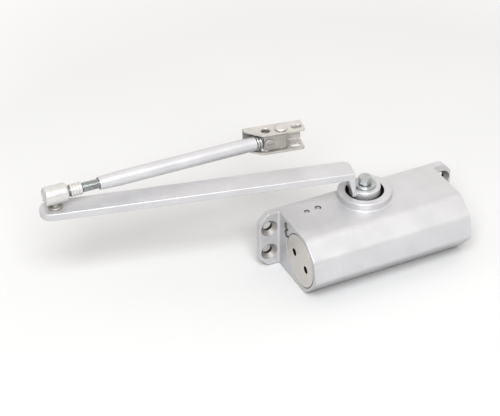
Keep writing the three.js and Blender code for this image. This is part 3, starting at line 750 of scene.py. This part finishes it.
class CLOSER_OT_end_caps(bpy.types.Operator):
    """Screwed end caps with two spanner holes each"""

    bl_idname = "closer.end_caps"
    bl_label = "End caps"

    def execute(self, context):
        radius, end = CAP_R / MM, END_FACE / MM
        cap = turned("end_cap", [
            (15.7, end - 9, 0.5), (15.7, end - 7.8), (13.5, end - 7.8), (13.5, end - 5.4), (15.7, end - 5.4),
            (15.7, end - 4), (radius - 0.1, end - 4), (radius - 0.1, end - 0.05, 0.3), (0.3, end - 0.05)], 128)
        swing = math.radians(14)
        holes = [Vector((0, 8.2 * turn * MM, 0)) for turn in (-1, 1)]
        for place in holes:
            cut(cap, turned("spanner_hole", [
                (0.4, end - 3.9), (2.6, end - 3), (2.6, end - 0.2), (2.75, end + 0.05), (2.75, end + 1)],
                48, matrix=Matrix.Translation(place)))
        for side, way in (("left", ALONG_MINUS_X @ Matrix.Rotation(-swing, 4, "Z")),
                          ("right", ALONG_X @ Matrix.Rotation(swing, 4, "Z"))):
            piece = cap.copy()
            piece.data = cap.data.copy()
            context.collection.objects.link(piece)
            piece.name = piece.data.name = f"cylinder_cap_{side}"
            settle(piece, "body", "silver_paint", finish_of("cap_paint"), f"end_cap_{side}")
            # Painted shade: the cap's rim and the walls of its spanner holes get the near-black oily finish.
            line(piece, "oily_metal_and_shade", lambda at: at.xy.length > CAP_R - 0.15 * MM or (
                at.z < (end - 0.15) * MM and any((at - hole).xy.length < 2.65 * MM for hole in holes)))
            moved(piece, Matrix.Translation((0, BORE_Y, 0)) @ way)
        bpy.data.objects.remove(cap)
        return {"FINISHED"}


class CLOSER_OT_valves(bpy.types.Operator):
    """Two slotted valve screws in the left end face"""

    bl_idname = "closer.valves"
    bl_label = "Valve screws"

    def execute(self, context):
        end = END_FACE / MM
        for name, body, y, z in VALVES:
            piece = turned(f"{name}_screw", [
                (0.2, end - 14), (1.2, end - 12), (1.2, end - 10.6), (2, end - 10), (2, end - 0.05, 0.3),
                (0.3, end)], 40, matrix=shift(0, y, z) @ ALONG_MINUS_X)
            cut(piece, block("slot", (-END_FACE - MM, (y - 0.4) * MM, (z - 3) * MM),
                             (-END_FACE + 0.95 * MM, (y + 0.4) * MM, (z + 3) * MM)))
            settle(piece, body, "zinc", finish_of("zinc_plate"), name)
            # Painted shade: the part of the screw inside its bore is near-black.
            line(piece, "oily_metal_and_shade", lambda at: at.x > -END_FACE + 0.3 * MM)
        return {"FINISHED"}


class CLOSER_OT_plugs(bpy.types.Operator):
    """Pressed plugs of the oil passages and the screwed plug under the pinion"""

    bl_idname = "closer.plugs"
    bl_label = "Plugs"

    def execute(self, context):
        for name, x, y, radius in PLUGS:
            piece = turned(f"{name}_disc", [
                (radius, 17.3), (radius, 20.8, 0.25), (radius - 0.5, 20.98, 0.15), (0.1, 21)],
                32, matrix=shift(x, y))
            settle(piece, "body", "steel", finish_of("cast_steel_and_shade"), name)
        piece = turned("pinion_plug", [(9, -17.9), (9, -20.95, 0.5), (3.2, -20.95)], 96)
        cut(piece, turned("hex_socket", [(3.7, -22), (3.7, -20.9), (3.2, -20.4), (3.2, -19)], 6))
        moved(piece, Matrix.Translation((PINION.x, PINION.y, 0)))
        settle(piece, "body", "steel", finish_of("cast_steel_and_shade"), "bottom_plug")
        return {"FINISHED"}


# ------------------------------------------------------------------ main arm
def cranked_bar(sizes):
    """Foot, riser and flat bar, each pulled out of the one before, with a round end at the elbow."""
    half, low, top = sizes.half_width, ARM_TOP - sizes.thickness, ARM_TOP
    foot_low, foot_top = COLLAR_TOP + 0.6 * MM, 29.7 * MM
    piece = block("cranked_bar", (0, -half, foot_low), (sizes.foot_outer, half, foot_top))
    score(piece, (sizes.foot_inner, 0, 0), (1, 0, 0))

    def raise_to(height, inner, outer):
        """Pulls the top of the riser up to a height, between two reaches along the arm."""
        tops = [v for v in bmesh.from_edit_mesh(piece.data).verts if v.select]
        middle_x = sum(v.co.x for v in tops) / len(tops)
        bpy.ops.mesh.extrude_region_move(
            TRANSFORM_OT_translate={"value": ((inner + outer) / 2 - middle_x, 0, height - tops[0].co.z)})
        tops = [v for v in bmesh.from_edit_mesh(piece.data).verts if v.select]
        span = max(v.co.x for v in tops) - min(v.co.x for v in tops)
        bpy.ops.transform.resize(
            value=((outer - inner) / span, 1, 1), center_override=((inner + outer) / 2, 0, height))

    pick(piece, "FACE", lambda face: face.normal.z > 0.9 and middle(face).x > sizes.foot_inner)
    raise_to(low, sizes.bar_inner - 0.4 * MM, sizes.bar_outer)
    raise_to(top, sizes.bar_inner, sizes.bar_outer)
    clear()
    pick(piece, "FACE", lambda face: face.normal.x > 0.9 and middle(face).z > low)
    centre = ARM_LENGTH + sizes.overhang
    bpy.ops.mesh.extrude_region_move(TRANSFORM_OT_translate={"value": (centre - sizes.bar_outer, 0, 0)})
    middle_z = (low + top) / 2
    steps = 20
    for n in range(steps):
        here, there = (math.pi / 2 * k / steps for k in (n, n + 1))
        bpy.ops.mesh.extrude_region_move(
            TRANSFORM_OT_translate={"value": (half * (math.sin(there) - math.sin(here)), 0, 0)})
        ratio = max(math.cos(there) / math.cos(here), 0.0001)
        bpy.ops.transform.resize(
            value=(1, ratio, 1), center_override=(centre + half * math.sin(there), 0, middle_z))
    bpy.ops.mesh.select_all(action="SELECT")
    bpy.ops.mesh.remove_doubles(threshold=0.02 * MM)
    bpy.ops.mesh.dissolve_degenerate(threshold=0.002 * MM)
    bpy.ops.mesh.select_all(action="SELECT")
    bpy.ops.mesh.dissolve_limited(angle_limit=math.radians(0.5))
    bpy.ops.mesh.select_all(action="SELECT")
    bpy.ops.mesh.normals_make_consistent(inside=False)
    clear()
    return piece


class CLOSER_OT_main_arm(bpy.types.Operator):
    """Cranked forging from the pinion to the elbow"""

    bl_idname = "closer.main_arm"
    bl_label = "Main arm"

    def execute(self, context):
        sizes = context.scene.closer_arm
        piece = cranked_bar(sizes)

        def front_corner(edge):
            at, rise = middle(edge), abs(edge.verts[0].co.z - edge.verts[1].co.z)
            return (at.y < -sizes.half_width + 0.1 * MM and at.x < sizes.foot_outer + 0.4 * MM
                    and at.z > 30.5 * MM and rise > 3 * MM)

        weld(bevel(piece, front_corner, sizes.corner_round, 8), 0.05 * MM)
        weld(bevel(piece, lambda edge: sharp(edge, 38), sizes.edge_round, 3), 0.01 * MM)
        join(piece, turned("hub", [(10, 24.2), (10.6, 24.8, 0.3), (10.6, 30, 0.9), (4, 30)], 96))
        socket = 4.4 * MM
        cut(piece, block("square", (-socket, -socket, 20 * MM), (socket, socket, 33 * MM)),
            turned("stud_hole", [(4.6, -7), (4.6, -5.3), (4.2, -4.7), (4.2, -0.4), (4.6, 0.2), (4.6, 2)],
                   48, matrix=shift(ARM_LENGTH / MM, 0, ARM_TOP / MM)))
        moved(piece, MAIN_ARM)
        piece.name = piece.data.name = "main_arm_forging"
        settle(piece, "arm", "silver_paint", finish_of("silver_paint"), "main_arm")
        return {"FINISHED"}


class CLOSER_OT_arm_screw(bpy.types.Operator):
    """Hexagon screw and washer that hold the main arm on the pinion"""

    bl_idname = "closer.arm_screw"
    bl_label = "Arm screw"

    def execute(self, context):
        washer = turned("arm_washer_disc", [
            (3.0, 30.3, 0.15), (7.4, 30.3, 0.3), (7.4, 31.7, 0.45), (3.0, 31.7, 0.2)], 96, closed=True)
        moved(washer, MAIN_ARM)
        settle(washer, "arm", "zinc", finish_of("zinc_plate"), "arm_washer")
        head = turned("arm_screw_head", [(4.5, 32.5), (4.5, 37)], 6)
        envelope = turned("envelope", [
            (4.3, 32.3), (5.2, 33.0), (5.2, 36.1), (3.75, 36.98, 0.2), (0.3, 36.7)], 64)
        combine(head, envelope, "INTERSECT")
        join(head, turned("shank", [(2.7, 16, 0.3), (2.7, 32.2), (4.35, 32.2), (4.35, 32.6)], 48))
        moved(head, MAIN_ARM)
        settle(head, "arm", "zinc", finish_of("zinc_plate"), "arm_screw")
        return {"FINISHED"}


class CLOSER_OT_ball_stud(bpy.types.Operator):
    """Stud with a riveted head under the arm and the elbow's ball on top"""

    bl_idname = "closer.ball_stud"
    bl_label = "Ball stud"

    def execute(self, context):
        top, centre = ARM_TOP / MM, ELBOW.z / MM
        head = top - context.scene.closer_arm.thickness / MM - 0.3
        ball = [(4.2 * math.cos(t), centre + 4.2 * math.sin(t)) for t in
                (math.radians(d) for d in range(-45, 90, 9))]
        piece = turned("elbow_ball_stud", [
            (3.6, head - 1.35), (5.1, head - 1.2, 0.4), (5.6, head - 0.4, 0.3), (5.6, head), (3.9, head),
            (3.9, top + 0.3), (4.8, top + 0.35, 0.2), (4.8, top + 1.5, 0.3), (2.6, top + 2.1, 0.3),
            (2.6, centre - 3.5, 0.2), *ball], 64, matrix=shift(ARM_LENGTH / MM))
        moved(piece, MAIN_ARM)
        # Painted shade: the stud takes the darker steel, standing in for the shadow under the knuckle.
        settle(piece, "arm", "steel", finish_of("cast_steel_and_shade"), "ball_stud")
        return {"FINISHED"}


# ------------------------------------------------------------------ elbow and fore arm
class CLOSER_OT_elbow(bpy.types.Operator):
    """Round knuckle over the ball, its end plug and the grooved locknut"""

    bl_idname = "closer.elbow"
    bl_label = "Elbow"

    def execute(self, context):
        knuckle = turned("elbow_knuckle_shell", [
            (3.6, 8.3), (5.5, 8.3, 0.4), (6.3, 7.4, 0.5), (6.3, -6.3, 0.6), (5.5, -7, 0.3), (4.5, -7, 0.15),
            (4.5, 4.5), (3.6, 4.5)], 96, closed=True, matrix=ALONG_X)
        channel = block("channel", (-8 * MM, -3.1 * MM, -8 * MM), (0, 3.1 * MM, 0))
        cut(knuckle, channel, rod("seat", 3.1, -8, 0.5, 48))
        moved(knuckle, FORE_ARM)
        settle(knuckle, "knuckle", "pale_metal", finish_of("satin_metal"), "elbow_knuckle")

        plug = turned("knuckle_plug", [
            (4.2, -5), (4.2, -6.95, 0.3), (3.3, -6.95, 0.2), (2.9, -6.6, 0.2), (0.1, -6.55)],
            64, matrix=ALONG_X)
        moved(plug, FORE_ARM)
        settle(plug, "knuckle", "steel", finish_of("pressed_steel"), "knuckle_end_plug")

        grooves = []
        for place in (12.15, 14.1, 16.05):
            grooves += [(4.2, place - 0.6, 0.2), (3.85, place - 0.2, 0.1), (3.85, place + 0.2, 0.1),
                        (4.2, place + 0.6, 0.2)]
        nut = turned("rod_locknut_ring", [
            (3.6, 10.2, 0.1), (4.2, 10.2, 0.35), *grooves, (4.2, 18, 0.35), (3.6, 18, 0.1)],
            72, closed=True, matrix=ALONG_X)
        moved(nut, FORE_ARM)
        settle(nut, "knuckle", "pale_metal", finish_of("satin_metal"), "rod_locknut")
        return {"FINISHED"}


class CLOSER_OT_threaded_rod(bpy.types.Operator):
    """Adjusting rod with a real helical thread"""

    bl_idname = "closer.threaded_rod"
    bl_label = "Threaded rod"

    def execute(self, context):
        sizes = context.scene.closer_fore_arm
        pitch, outer = sizes.thread_pitch, sizes.thread_radius
        start, end = 4.8 * MM, 72 * MM
        clear()
        bpy.ops.mesh.primitive_circle_add(
            vertices=4, radius=pitch / 2, fill_type="NOTHING", rotation=(math.pi / 2, 0, 0))
        bpy.ops.object.transform_apply(location=True, rotation=True, scale=True)
        piece = named("adjusting_rod")
        mesh = edit(piece, "VERT")
        for vertex in mesh.verts:
            vertex.select_set(vertex.co.x < -0.1 * pitch)
        bpy.ops.mesh.delete(type="VERT")
        bpy.ops.mesh.select_all(action="SELECT")
        depth = 0.55 * pitch
        bpy.ops.transform.resize(value=(2 * depth / pitch, 1, 1), center_override=(0, 0, 0))
        bpy.ops.transform.translate(value=(outer - depth, 0, start - pitch))
        clear()
        take(piece)
        step = piece.modifiers.new("thread", "SCREW")
        step.axis, step.angle, step.screw_offset = "Z", 2 * math.pi, pitch
        step.iterations = math.ceil((end - start) / pitch) + 3
        step.steps = step.render_steps = 32
        step.use_merge_vertices, step.merge_threshold = True, 0.002 * MM
        bpy.ops.object.modifier_apply(modifier=step.name)
        edit(piece)
        bpy.ops.mesh.select_all(action="SELECT")
        bpy.ops.mesh.remove_doubles(threshold=0.005 * MM)
        bpy.ops.mesh.normals_make_consistent(inside=False)
        clear()
        slice_off(piece, (0, 0, end), (0, 0, 1))
        slice_off(piece, (0, 0, start), (0, 0, -1))
        edit(piece)
        bpy.ops.mesh.select_all(action="SELECT")
        bpy.ops.mesh.normals_make_consistent(inside=False)
        moved(piece, FORE_ARM @ ALONG_X)
        settle(piece, "knuckle", "zinc", finish_of("threaded_zinc"), "threaded_rod")
        return {"FINISHED"}


class CLOSER_OT_fore_arm(bpy.types.Operator):
    """Tapered tube and the tongue fitting at its far end"""

    bl_idname = "closer.fore_arm"
    bl_label = "Fore arm"

    def execute(self, context):
        sizes = context.scene.closer_fore_arm
        start, end = sizes.tube_start / MM, sizes.tube_end / MM
        tube = turned("fore_arm_sleeve", [
            (3.7, start, 0.1), (4.35, start, 0.25), (4.35, start + 1.6, 0.1), (4.28, start + 1.8),
            (4.28, start + 2), (4.4, start + 2.2, 0.1), (4.85, start + 14, 2), (4.85, end, 0.4),
            (3.9, end, 0.2), (3.9, start + 14)], 96, closed=True, matrix=ALONG_X)
        moved(tube, FORE_ARM)
        settle(tube, "fore_arm", "silver_paint", finish_of("silver_paint"), "fore_arm_tube")

        fitting = turned("tongue_fitting", [
            (3.6, end - 22, 0.4), (3.6, end + 0.3), (5.2, end + 0.3, 0.3), (5.2, end + 1.5, 0.35),
            (4.1, end + 1.6, 0.1), (4.1, end + 2.3, 0.1), (5.0, end + 2.4, 0.3), (5.0, end + 3.7, 0.4),
            (3.2, end + 3.7)], 72, matrix=ALONG_X)
        knee_reach = (KNEE - ELBOW).xy.length - 4.3 * MM
        plate = block("tongue", (-4.4 * MM, -1.9 * MM, -3.2 * MM), (7.5 * MM, 1.9 * MM, 3.2 * MM))
        bevel(plate, lambda edge: runs(edge, 1) and middle(edge).x > 0, 3.19 * MM, 10)
        bevel(plate, lambda edge: sharp(edge, 40) and middle(edge).x > -4 * MM, 0.3 * MM, 2)
        cut(plate, rod("eye", 2.3, -5, 5, 40, shift(4.3) @ ALONG_Y))
        moved(plate, Matrix.Translation((knee_reach, 0, 0)) @ Matrix.Rotation(SHOE_TURN - FORE_TURN, 4, "Z"))
        join(fitting, plate)
        moved(fitting, FORE_ARM)
        settle(fitting, "fore_arm", "zinc", finish_of("zinc_plate"), "fore_arm_tongue")
        return {"FINISHED"}


# ------------------------------------------------------------------ block and shoe
class CLOSER_OT_pivot_block(bpy.types.Operator):
    """Steel block between the tongue and the shoe, with its screw and rivet"""

    bl_idname = "closer.pivot_block"
    bl_label = "Pivot block"

    def execute(self, context):
        piece = block("pivot_block_body", (-12.8 * MM, -3.6 * MM, -5.5 * MM), (4.6 * MM, 3.6 * MM, 5.5 * MM))
        bevel(piece, lambda edge: runs(edge, 2) and middle(edge).x > 0, 2.6 * MM, 6)
        bevel(piece, lambda edge: sharp(edge, 40), 0.45 * MM, 3)
        cut(piece, block("fork", (-14 * MM, -2.2 * MM, -7 * MM), (-5 * MM, 2.2 * MM, 7 * MM)),
            turned("rivet_hole", [(2.9, -8), (2.9, 8)], 48),
            rod("screw_hole", 2.3, -6, 6, 40, shift(-9.2) @ ALONG_Y))
        moved(piece, SHOE)
        # Painted shade: the block takes the darker steel, standing in for the shade on its front face.
        settle(piece, "block", "steel", finish_of("cast_steel_and_shade"), "pivot_block")

        screw = turned("pivot_screw_pin", [
            (2, -3.6, 0.2), (2, 3.9), (3.2, 3.9, 0.1), (3.6, 4.3, 0.2), (3.5, 4.95, 0.35), (0.1, 5.1)],
            56, matrix=shift(-9.2) @ ALONG_MINUS_Y)
        cut(screw, block("slot", (-14 * MM, -7 * MM, -0.45 * MM), (-4 * MM, -4.5 * MM, 0.45 * MM)))
        moved(screw, SHOE)
        settle(screw, "block", "zinc", finish_of("cast_steel_and_shade"), "pivot_screw")

        rivet = turned("shoe_rivet_body", [
            (3.3, -8.8, 0.2), (3.8, -8.3, 0.15), (2.6, -8.3), (2.6, 8.3), (4.1, 8.3, 0.1), (4.4, 8.75, 0.3),
            (3.5, 9.5, 0.5), (2.0, 9.9, 0.6), (0.15, 10)], 72)
        moved(rivet, SHOE)
        settle(rivet, "block", "zinc", finish_of("pressed_steel"), "shoe_rivet")
        return {"FINISHED"}


class CLOSER_OT_shoe(bpy.types.Operator):
    """Pressed channel that is fixed to the door frame"""

    bl_idname = "closer.shoe"
    bl_label = "Shoe"

    def execute(self, context):
        sizes = context.scene.closer_shoe
        back, front, half = sizes.back, -sizes.front, 8 * MM
        piece = block("shoe_channel", (-sizes.start, front, -half), (sizes.end, back, half))
        pick(piece, "FACE", lambda face: face.normal.y < -0.9 or abs(face.normal.x) > 0.9)
        bpy.ops.mesh.delete(type="FACE")
        bevel(piece, lambda edge: near(middle(edge).y, back) and runs(edge, 0), sizes.bend, 6)
        shoulder = Vector((10.8 * MM - sizes.start, front, 0))
        cheek = Vector((-sizes.start, front + 8.4 * MM, 0))
        slice_off(piece, shoulder, (shoulder.y - cheek.y, cheek.x - shoulder.x, 0), fill=False)
        tip = Vector((sizes.end, front, 0))
        for corner, size in ((cheek, 1.2 * MM), (shoulder, 1.6 * MM), (tip, 2 * MM)):
            mesh = edit(piece, "VERT")
            for vertex in mesh.verts:
                vertex.select_set((vertex.co - corner).xy.length < 0.1 * MM)
            bpy.ops.mesh.bevel(offset=size, segments=4, affect="VERTICES", clamp_overlap=True)
            clear()
        edit(piece)
        bpy.ops.mesh.select_all(action="SELECT")
        bpy.ops.mesh.normals_make_consistent(inside=False)
        clear()
        take(piece)
        step = piece.modifiers.new("sheet", "SOLIDIFY")
        step.thickness, step.offset, step.use_even_offset = sizes.sheet, -1, True
        bpy.ops.object.modifier_apply(modifier=step.name)
        bevel(piece, lambda edge: sharp(edge, 50), 0.28 * MM, 2)

        def sheet_hole(radius, x, y):
            return turned("sheet_hole", [
                (radius + 0.5, -9), (radius + 0.2, -7.9), (radius, -7.7), (radius, 7.7), (radius + 0.2, 7.9),
                (radius + 0.5, 9)], 48, matrix=shift(x, y))

        near_end, far_end, slot = 9.2, 11.8, 2.3
        oblong = block("oblong", (near_end * MM, -slot * MM, -9 * MM), (far_end * MM, slot * MM, 9 * MM))
        cut(piece, sheet_hole(2.9, 0, 0), sheet_hole(3.0, -10.6, 0.4), sheet_hole(slot, near_end, 0),
            sheet_hole(slot, far_end, 0), oblong)
        moved(piece, SHOE)
        settle(piece, "shoe", "steel", finish_of("pressed_steel"), "shoe_bracket")
        return {"FINISHED"}


# ------------------------------------------------------------------ inner parts
INNER = {
    "cast_steel_and_shade": ["pinion_spindle", "upper_gland_nut", "piston", "check_valve_ball"],
    "moulded_rubber": ["end_cap_seal_left", "end_cap_seal_right", "upper_spindle_seal", "lower_spindle_seal"],
    "sintered_bronze": ["upper_bearing", "lower_bearing", "check_valve_seat"],
}


class CLOSER_OT_inner_parts(bpy.types.Operator):
    """Finishes for the pinion, piston, bearings and seals inside the housing"""

    bl_idname = "closer.inner_parts"
    bl_label = "Inner parts"

    def execute(self, context):
        for finish, nodes in INNER.items():
            for name in nodes:
                node = frame["nodes"][name]
                node.data.materials.clear()
                node.data.materials.append(finish_of(finish))
        return {"FINISHED"}


class CLOSER_OT_closing_spring(bpy.types.Operator):
    """Closing spring, which shortens as the piston moves towards its fixed end"""

    bl_idname = "closer.closing_spring"
    bl_label = "Closing spring"

    def execute(self, context):
        coil = bpy.data.objects.new("closing_spring_coil", frame["nodes"]["closing_spring"].data.copy())
        context.collection.objects.link(coil)
        weld(coil, TOUCHING)
        settle(coil, "body", "steel", finish_of("cast_steel_and_shade"), "closing_spring")
        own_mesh(coil)
        return {"FINISHED"}


# ------------------------------------------------------------------ studio
def floor_finish():
    made = Finish("studio_floor")
    cloud = made.range(made.noise(made.place(), 3.0), 0.3, 0.7)
    base = made.tint(cloud, (0.60, 0.60, 0.60), (0.62, 0.62, 0.62))
    # Painted shade: the floor is darker near the object, within 0.3 m of the origin, and grows paler out to
    # 0.8 m.
    reach = made.node("ShaderNodeVectorMath", {"operation": "LENGTH"}, [made.place()], output="Value")
    base = made.tint(made.range(reach, 0.3, 0.8), base, (0.82, 0.82, 0.82))
    return made.done(base_color=base, roughness=0.9, specular_ior_level=0.1)


def soft_lamp(name, place, target, size, power):
    lamp = bpy.data.lights.new(name, "AREA")
    lamp.shape, lamp.size, lamp.energy, lamp.color = "SQUARE", size, power, (0.96, 0.98, 1)
    holder = bpy.data.objects.new(name, lamp)
    bpy.context.collection.objects.link(holder)
    holder.location = place
    holder.rotation_mode = "QUATERNION"
    holder.rotation_quaternion = (Vector(target) - Vector(place)).to_track_quat("-Z", "Y")
    return holder


def soft_room(scene, brightness):
    """A pale room that is brighter at the back, to the right and overhead than on the left."""
    world = bpy.data.worlds.new("room")
    scene.world = world
    world.use_nodes = True
    tree = world.node_tree
    background = tree.nodes["Background"]
    place = tree.nodes.new("ShaderNodeTexCoord")
    weigh = tree.nodes.new("ShaderNodeVectorMath")
    weigh.operation = "DOT_PRODUCT"
    weigh.inputs[1].default_value = (0.45, 0.35, 0.3)
    level = tree.nodes.new("ShaderNodeMath")
    level.operation, level.use_clamp = "MULTIPLY_ADD", True
    level.inputs[1].default_value = level.inputs[2].default_value = brightness
    tree.links.new(place.outputs["Generated"], weigh.inputs[0])
    tree.links.new(weigh.outputs["Value"], level.inputs[0])
    tree.links.new(level.outputs[0], background.inputs["Strength"])
    background.inputs["Color"].default_value = (1, 0.97, 0.935, 1)


class CLOSER_OT_stage(bpy.types.Operator):
    """Pale floor, soft lamps and the camera"""

    bl_idname = "closer.stage"
    bl_label = "Stage"

    def execute(self, context):
        studio = context.scene.closer_studio
        clear()
        bpy.ops.mesh.primitive_plane_add(size=12, location=(0, 0, FLOOR_Z))
        floor = named("studio_floor")
        floor.data.materials.append(floor_finish())

        data = bpy.data.cameras.new("view")
        data.lens, data.sensor_width, data.clip_start, data.clip_end = studio.focal_length, 36, 0.01, 50
        camera = bpy.data.objects.new("view", data)
        context.collection.objects.link(camera)
        camera.matrix_world = (Matrix.Translation(studio.camera_place)
                               @ Matrix.Rotation(studio.heading, 4, "Z")
                               @ Matrix.Rotation(math.pi / 2 - studio.dip, 4, "X")
                               @ Matrix.Rotation(studio.roll, 4, "Z"))
        context.scene.camera = camera

        target = (-0.06, 0, 0.02)
        soft_lamp("key", (-0.85, -1.6, 2.1), target, 1.8, studio.key_power)

        soft_room(context.scene, studio.surround)
        context.scene.view_settings.view_transform = "Standard"
        context.scene.view_settings.gamma = studio.contrast
        return {"FINISHED"}


OPERATORS = (
    CLOSER_OT_stage, CLOSER_OT_housing, CLOSER_OT_end_caps, CLOSER_OT_valves, CLOSER_OT_plugs,
    CLOSER_OT_main_arm, CLOSER_OT_arm_screw, CLOSER_OT_ball_stud, CLOSER_OT_elbow, CLOSER_OT_threaded_rod,
    CLOSER_OT_fore_arm, CLOSER_OT_pivot_block, CLOSER_OT_shoe, CLOSER_OT_inner_parts, CLOSER_OT_closing_spring,
)
GROUPS = {
    "closer_housing": HousingSizes, "closer_arm": ArmSizes, "closer_fore_arm": ForeArmSizes,
    "closer_shoe": ShoeSizes, "closer_colours": FinishColours, "closer_studio": StudioSettings,
}


class CLOSER_PT_panel(bpy.types.Panel):
    """Every piece of the door closer, and its sizes and colours"""

    bl_idname = "CLOSER_PT_panel"
    bl_label = "Door Closer"
    bl_space_type = "VIEW_3D"
    bl_region_type = "UI"
    bl_category = "Door Closer"

    def draw(self, context):
        for operator in OPERATORS:
            self.layout.operator(operator.bl_idname)
        for name, group in GROUPS.items():
            column = self.layout.column(heading=group.__doc__)
            for key in group.__annotations__:
                column.prop(getattr(context.scene, name), key)


CLASSES = (*GROUPS.values(), *OPERATORS, CLOSER_PT_panel)


def register():
    for cls in CLASSES:
        bpy.utils.register_class(cls)
    for name, group in GROUPS.items():
        setattr(bpy.types.Scene, name, bpy.props.PointerProperty(type=group))


def unregister():
    for name in GROUPS:
        delattr(bpy.types.Scene, name)
    for cls in reversed(CLASSES):
        bpy.utils.unregister_class(cls)


def main():
    register()
    for operator in OPERATORS:
        group, name = operator.bl_idname.split(".")
        getattr(getattr(bpy.ops, group), name)()


if __name__ == "__main__":
    main()
